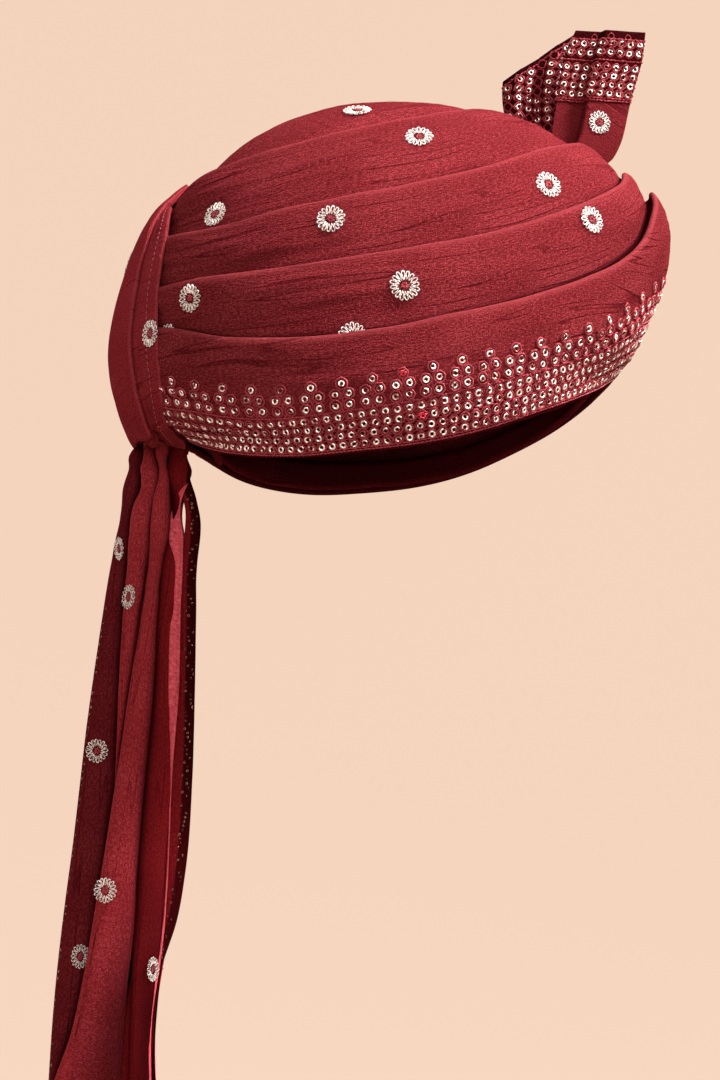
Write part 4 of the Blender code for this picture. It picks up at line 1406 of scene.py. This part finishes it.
flowers = {
    # on the wearer's right, in mm; the left side has the same, a little moved
    "dome": [(-63, -13, 143.4), (-85, 25, 101.1), (-60, 76, 109.8), (-68, -70, 122.9), (-66, -88, 106.2),
             (-96, -6, 71.3), (-70, 85, 70.1), (-40, 14, 160.6)],
    # these lie on the lower pleat and are nearly covered by the border's fold
    "covered": [(-97, 16, 49.8), (-79, -75, 70.0), (-26, -119, 114.0), (-63, 101.5, 56.0)],
    "leftOnly": [(12, 60, 158), (30, -62, 160), (4, -118, 108)],
    "band": [(-54, 99.6, 56.7), (54, 99.6, 56.7), (-6, 120, 100)],
    # on the tail: (piece, Y, height, share of its width, as the cloth is drawn together near the neck)
    "tail": [("tailBackFold", 122.6, -32.5, 0.42), ("tailOuterPleat", 117.6, -54.9, 0.5),
             ("tailOuterPleat", 112.8, -92.5, 0.4), ("tailBackFold", 131.6, -124.4, 0.85),
             ("tailFrontPleat", 126.0, -186.1, 0.85), ("tailBackFold", 137.9, -216.0, 0.7),
             ("tailInnerPleat", 105.2, -221.4, 0.45), ("tailFrontPleat", 105.4, 1.5, 0.35)],
    "fan": [(-98.5, 166.6)], "farShift": 7.0,
}


def castOn(tree, origin, direction):
    hit, normal = tree.ray_cast(origin, direction)[:2]
    if hit is None:
        return None
    if normal.dot(direction) > 0:
        normal = -normal
    return hit, normal


def settleOn(tree, origin, direction, radius=0.0045):
    # lays a motif along the cloth's mean slope, lifted by seven tenths of the highest rise of the cloth
    # round it and 0.1 mm more, at most 1.2 mm
    found = castOn(tree, origin, direction)
    if found is None:
        return None
    place, normal = found
    side = normal.orthogonal().normalized()
    other = normal.cross(side)
    around = []
    for k in range(10):
        angle = 2 * math.pi * k / 10
        offset = (side * math.cos(angle) + other * math.sin(angle)) * radius
        hit = castOn(tree, place + offset - direction * 0.02, direction)
        if hit and (hit[0] - place).length < 2.0 * radius:
            around.append(hit)
    mean = sum((hit[1] for hit in around), normal.copy()).normalized()
    rise = max([0.0] + [(hit[0] - place).dot(mean) for hit in around])
    return place + mean * min(0.7 * rise + 0.0001, 0.0012), mean


def flowerSpots(s=flowers):
    spots = []
    rng = random.Random(5)
    bandTree = treeOf(backBand, *bandEdges)

    def mirrored(places, drift):
        return [(-x, y + rng.uniform(-1, 0) * drift, z + rng.uniform(-0.4, 0.2) * drift)
                for x, y, z in places]

    groups = ((domeTree, s["dome"] + mirrored(s["dome"], s["farShift"]) + s["leftOnly"]),
              (treeOf(pleatLower), s["covered"] + mirrored(s["covered"], 0)),
              (bandTree, s["band"]))
    for tree, aims in groups:
        for x, y, z in aims:
            aim = Vector((x, y, z)) * mm
            inwards = (Vector((0, aim.y * 0.35, 0.045)) - aim).normalized()
            found = settleOn(tree, aim - inwards * 0.05, inwards)
            if found:
                along = Vector((rng.uniform(-1, 1), rng.uniform(-1, 1), rng.uniform(-1, 1)))
                if tree is bandTree:
                    spots.append((found[0], Vector((0, 0, 1)), found[1], (1.0, 0.7, 1.0)))
                else:
                    spots.append((found[0], along, found[1], 1.0))
    for title, y, z, width in s["tail"]:
        for side, word in ((-1, "Right"), (1, "Left")):
            tree = treeOf(tailPieces.get(title) or tailPieces[title + word])
            found = settleOn(tree, Vector((side * 0.08, y * mm, z * mm)), Vector((-side, 0, 0)), 0.002)
            if found:
                spots.append((found[0], Vector((0, 0, 1)), found[1], (0.92, width, 1.0)))
    for y, z in s["fan"]:
        for side in (-1, 1):
            found = settleOn(treeOf(fanFront), Vector((side * 0.08, y * mm, z * mm)), Vector((-side, 0, 0)))
            spots.append((found[0], Vector((0, 1, 0)), found[1], 0.9))
    return spots


flowerPlaces = flowerSpots()
smallPieces["flowerPetals"] = scatter("flowerPetals", flowerPlaces, stamps["flower"], threads["silver"],
                                      tilt=0.05, spin=0.1, spread=0.05, seed=21)
smallPieces["flowerCentres"] = scatter("flowerCentres", flowerPlaces, stamps["centre"], threads["red"],
                                       tilt=0.1, spin=0.3, spread=0.1, seed=22)
print("flowers made:", len(flowerPlaces))


# running stitches on the band's edges and the hem, and the dark sequinned edges of the tail

def bandStitchPath(side):
    tree = treeOf(bandEdges[0] if side < 0 else bandEdges[1])
    path = []
    for row in np.linspace(band["stripTop"] + 0.25, 12.2, 90):
        base = bandBase(0.905 * side, row) * mm
        other = bandBase(0.905 * side + 0.02, row) * mm
        down = bandBase(0.905 * side, row + 0.1) * mm
        normal = Vector(np.cross(other - base, down - base)).normalized()
        if normal.y < 0 and normal.x * side < 0:
            normal = -normal
        found = castOn(tree, Vector(base) + normal * 0.006, -normal)
        if found:
            path.append(found)
    return path


smallPieces["bandTopstitch"] = stitchLines("bandTopstitch", [bandStitchPath(-1), bandStitchPath(1)],
                                           stamps["topstitch"], 2.9 * mm, threads["topstitch"],
                                           wander=0.06, seed=31)


def hemStitchPath(side):
    tree = treeOf(hemStrips[0] if side < 0 else hemStrips[1])
    path = []
    for z in np.arange(-18, -120, -1.5):
        y = smooth(hemStrip["right"], z) + 1.2
        found = castOn(tree, Vector((side * 0.05, y * mm, z * mm)), Vector((-side, 0, 0)))
        if found:
            path.append(found)
    return path


smallPieces["hemTopstitch"] = stitchLines("hemTopstitch", [hemStitchPath(-1), hemStitchPath(1)],
                                          stamps["topstitch"], 2.6 * mm, threads["topstitch"],
                                          wander=0.06, seed=32)


def edgeSequins():
    # the far side of the border shows as a dark sequinned strip along two edges of the tail
    spots = []
    rng = random.Random(41)
    inner, back = treeOf(tailPieces["tailInnerFold"]), treeOf(tailPieces["tailBackFold"])
    strips = ((inner, "innerFold", 3.6, -8, 1.9), (back, "backFold", -0.9, -60, 3.2))
    for side in (-1, 1):
        for tree, edge, reach, top, step in strips:
            for z in np.arange(top, -285, -step):
                y = smooth(tail[edge]["edge"], z) + math.copysign(0.4, reach) + reach * rng.random()
                found = castOn(tree, Vector((side * 0.05, y * mm, z * mm)), Vector((-side, 0, 0)))
                if found and rng.random() < 0.85:
                    spots.append((found[0], Vector((0, 0, 1)), found[1], rng.uniform(0.25, 0.42)))
    return spots


smallPieces["tailEdgeSequins"] = scatter("tailEdgeSequins", edgeSequins(), stamps["ring"], metals["dark"],
                                         tilt=0.3, spin=3.1, seed=33)

for stamp in stamps.values():
    bpy.data.objects.remove(stamp, do_unlink=True)
print("stitches made")


# stage: a pale floor that curves up into a backdrop all round, and soft light

stage = {
    "floor": -0.62, "flatRadius": 1.9, "curve": 0.9, "wallTop": 2.4, "segments": 72,
    "colour": (0.05, 0.038, 0.032), "light": (0.75, 0.55, 0.426), "glow": 1.13,
}


def makeStage(s=stage):
    profile = [(0.02, s["floor"]), (0.8, s["floor"]), (s["flatRadius"], s["floor"])]
    for k in range(1, 13):
        angle = math.pi / 2 * k / 12
        profile.append((s["flatRadius"] + s["curve"] * math.sin(angle),
                        s["floor"] + s["curve"] * (1 - math.cos(angle))))
    profile.append((s["flatRadius"] + s["curve"], s["wallTop"]))
    points, faces = [(0, 0, s["floor"])], []
    count = s["segments"]
    for radius, z in profile:
        turns = [2 * math.pi * i / count for i in range(count)]
        points += [(radius * math.cos(turn), radius * math.sin(turn), z) for turn in turns]
    for i in range(count):
        j = (i + 1) % count
        faces.append((0, 1 + i, 1 + j))
        for r in range(len(profile) - 1):
            a, b = 1 + r * count, 1 + (r + 1) * count
            faces.append((a + i, b + i, b + j, a + j))
    mesh = bpy.data.meshes.new("backdrop")
    mesh.from_pydata(points, [], faces)
    mesh.shade_smooth()
    material, maker, shader = newMaterial("backdropPaint", {
        "Roughness": 0.9, "Specular IOR Level": 0.1, "Emission Color": s["light"],
        "Emission Strength": s["glow"]})
    place = maker.node("ShaderNodeTexCoord")["Object"]
    cloud = maker.noise(place, scale=1.3, detail=2)
    pale = tuple(min(1.0, c * 1.05) for c in s["colour"])
    tone = maker.mix(cloud.between(0.35, 0.65) * 0.5, s["colour"], pale)
    material.node_tree.links.new(tone.socket, shader.inputs["Base Color"])
    mesh.materials.append(material)
    thing = bpy.data.objects.new("backdrop", mesh)
    bpy.context.scene.collection.objects.link(thing)


def softLight(name, place, aim, size, power, colour, beam=180.0):
    data = bpy.data.lights.new(name, "AREA")
    data.shape = "DISK"
    data.size = size
    data.energy = power
    data.color = colour
    data.spread = math.radians(beam)
    light = bpy.data.objects.new(name, data)
    light.location = place
    light.rotation_euler = (Vector(aim) - Vector(place)).to_track_quat("-Z", "Y").to_euler()
    light.visible_camera = False
    bpy.context.scene.collection.objects.link(light)


makeStage()
softLight("keyLight", (-0.52, -1.25, 1.5), (-0.04, -0.10, 0.16), 0.55, 9.5, (1.0, 0.97, 0.94), beam=36)
softLight("fillLight", (-1.9, -0.2, 0.5), (0, 0.05, 0.05), 1.3, 30, (1.0, 0.96, 0.93))
softLight("farKeyLight", (1.6, -0.9, 0.9), (0, 0, 0.05), 1.0, 42, (1.0, 0.96, 0.92))
softLight("backLight", (1.2, 1.5, 0.9), (0, 0, 0.0), 1.1, 40, (1.0, 0.95, 0.9))
softLight("domeLight", (0, -0.3, 2.2), (0, 0, 0), 1.8, 20, (1.0, 0.96, 0.93))
world = bpy.data.worlds.new("studio")
world.use_nodes = True
world.node_tree.nodes["Background"].inputs["Color"].default_value = (0.92, 0.80, 0.70, 1)
world.node_tree.nodes["Background"].inputs["Strength"].default_value = 0.4
bpy.context.scene.world = world
bpy.context.scene.view_settings.view_transform = "Standard"
print("stage and light made")


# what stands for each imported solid, and what rides along

replaced = {
    "crown_cap": crownCap, "pleat_upper": pleatUpper, "pleat_middle": pleatMiddle, "pleat_lower": pleatLower,
    "border_wrap": borderWrap, "under_hem": underHem, "back_band": backBand,
    "fan_front_panel": fanFront, "fan_back_panel": fanBack,
}
for title, piece in tailPieces.items():
    replaced["".join("_" + c.lower() if c.isupper() else c for c in title)] = piece
for node, piece in replaced.items():
    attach(piece, "root")
    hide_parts(node)
for piece in [*bandEdges, *hemStrips, *smallPieces.values()]:
    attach(piece, "root")

# the width and length of each cloth laid flat, in metres: its length along its middle, and its mean width
sheets = [
    (crownCap, "draped", (0.128, 0.176), 0.0177, [], []),
    (pleatUpper, "gathered", (0.055, 0.510), None, [crownCap], []),
    (pleatMiddle, "gathered", (0.0433, 0.634), None, [pleatUpper], []),
    (pleatLower, "gathered", (0.0402, 0.705), None, [pleatMiddle], []),
    (borderWrap, "gathered", (0.0748, 0.692), None, [pleatLower], ["border"]),
    (underHem, "folded", (0.0293, 0.594), None, [borderWrap], []),
    (backBand, "stretched", (0.1125, 0.131), None, [pleatLower, borderWrap], ["bandTopstitch"]),
    (fanFront, "folded", (0.0365, 0.063), None, [pleatUpper], ["fanFront"]),
    (fanBack, "folded", (0.0281, 0.0391), None, [fanFront], ["fanBack"]),
]
sheets += [(edge, "stretched", (0.0169, 0.139), None, [backBand], []) for edge in bandEdges]
tailFlat = {"BackFold": (0.0507, 0.313), "InnerFold": (0.0291, 0.313), "OuterPleat": (0.0153, 0.312),
            "FrontPleat": (0.0195, 0.313), "InnerPleat": (0.0137, 0.311)}
for name, piece in tailPieces.items():
    flat = next(size for word, size in tailFlat.items() if word in name)
    sheets.append((piece, "hung", flat, None, [backBand], []))
for piece, held, flat, area, under, work in sheets:
    carried = [thing for name, thing in smallPieces.items() if any(name.startswith(word) for word in work)]
    if piece.name.startswith("tailInnerPleat"):
        carried += [strip for strip in hemStrips if strip.name[-4:] == piece.name[-4:]]

triangles = {thing.name: sum(len(face.vertices) - 2 for face in thing.data.polygons)
             for thing in bpy.context.scene.objects if thing.type == "MESH" and thing.name != "backdrop"}
print("triangles:", sum(triangles.values()), "most in one piece:", max(triangles.values()))
print("cloth areas:", {name: round(area, 4) for name, area in clothArea.items()})
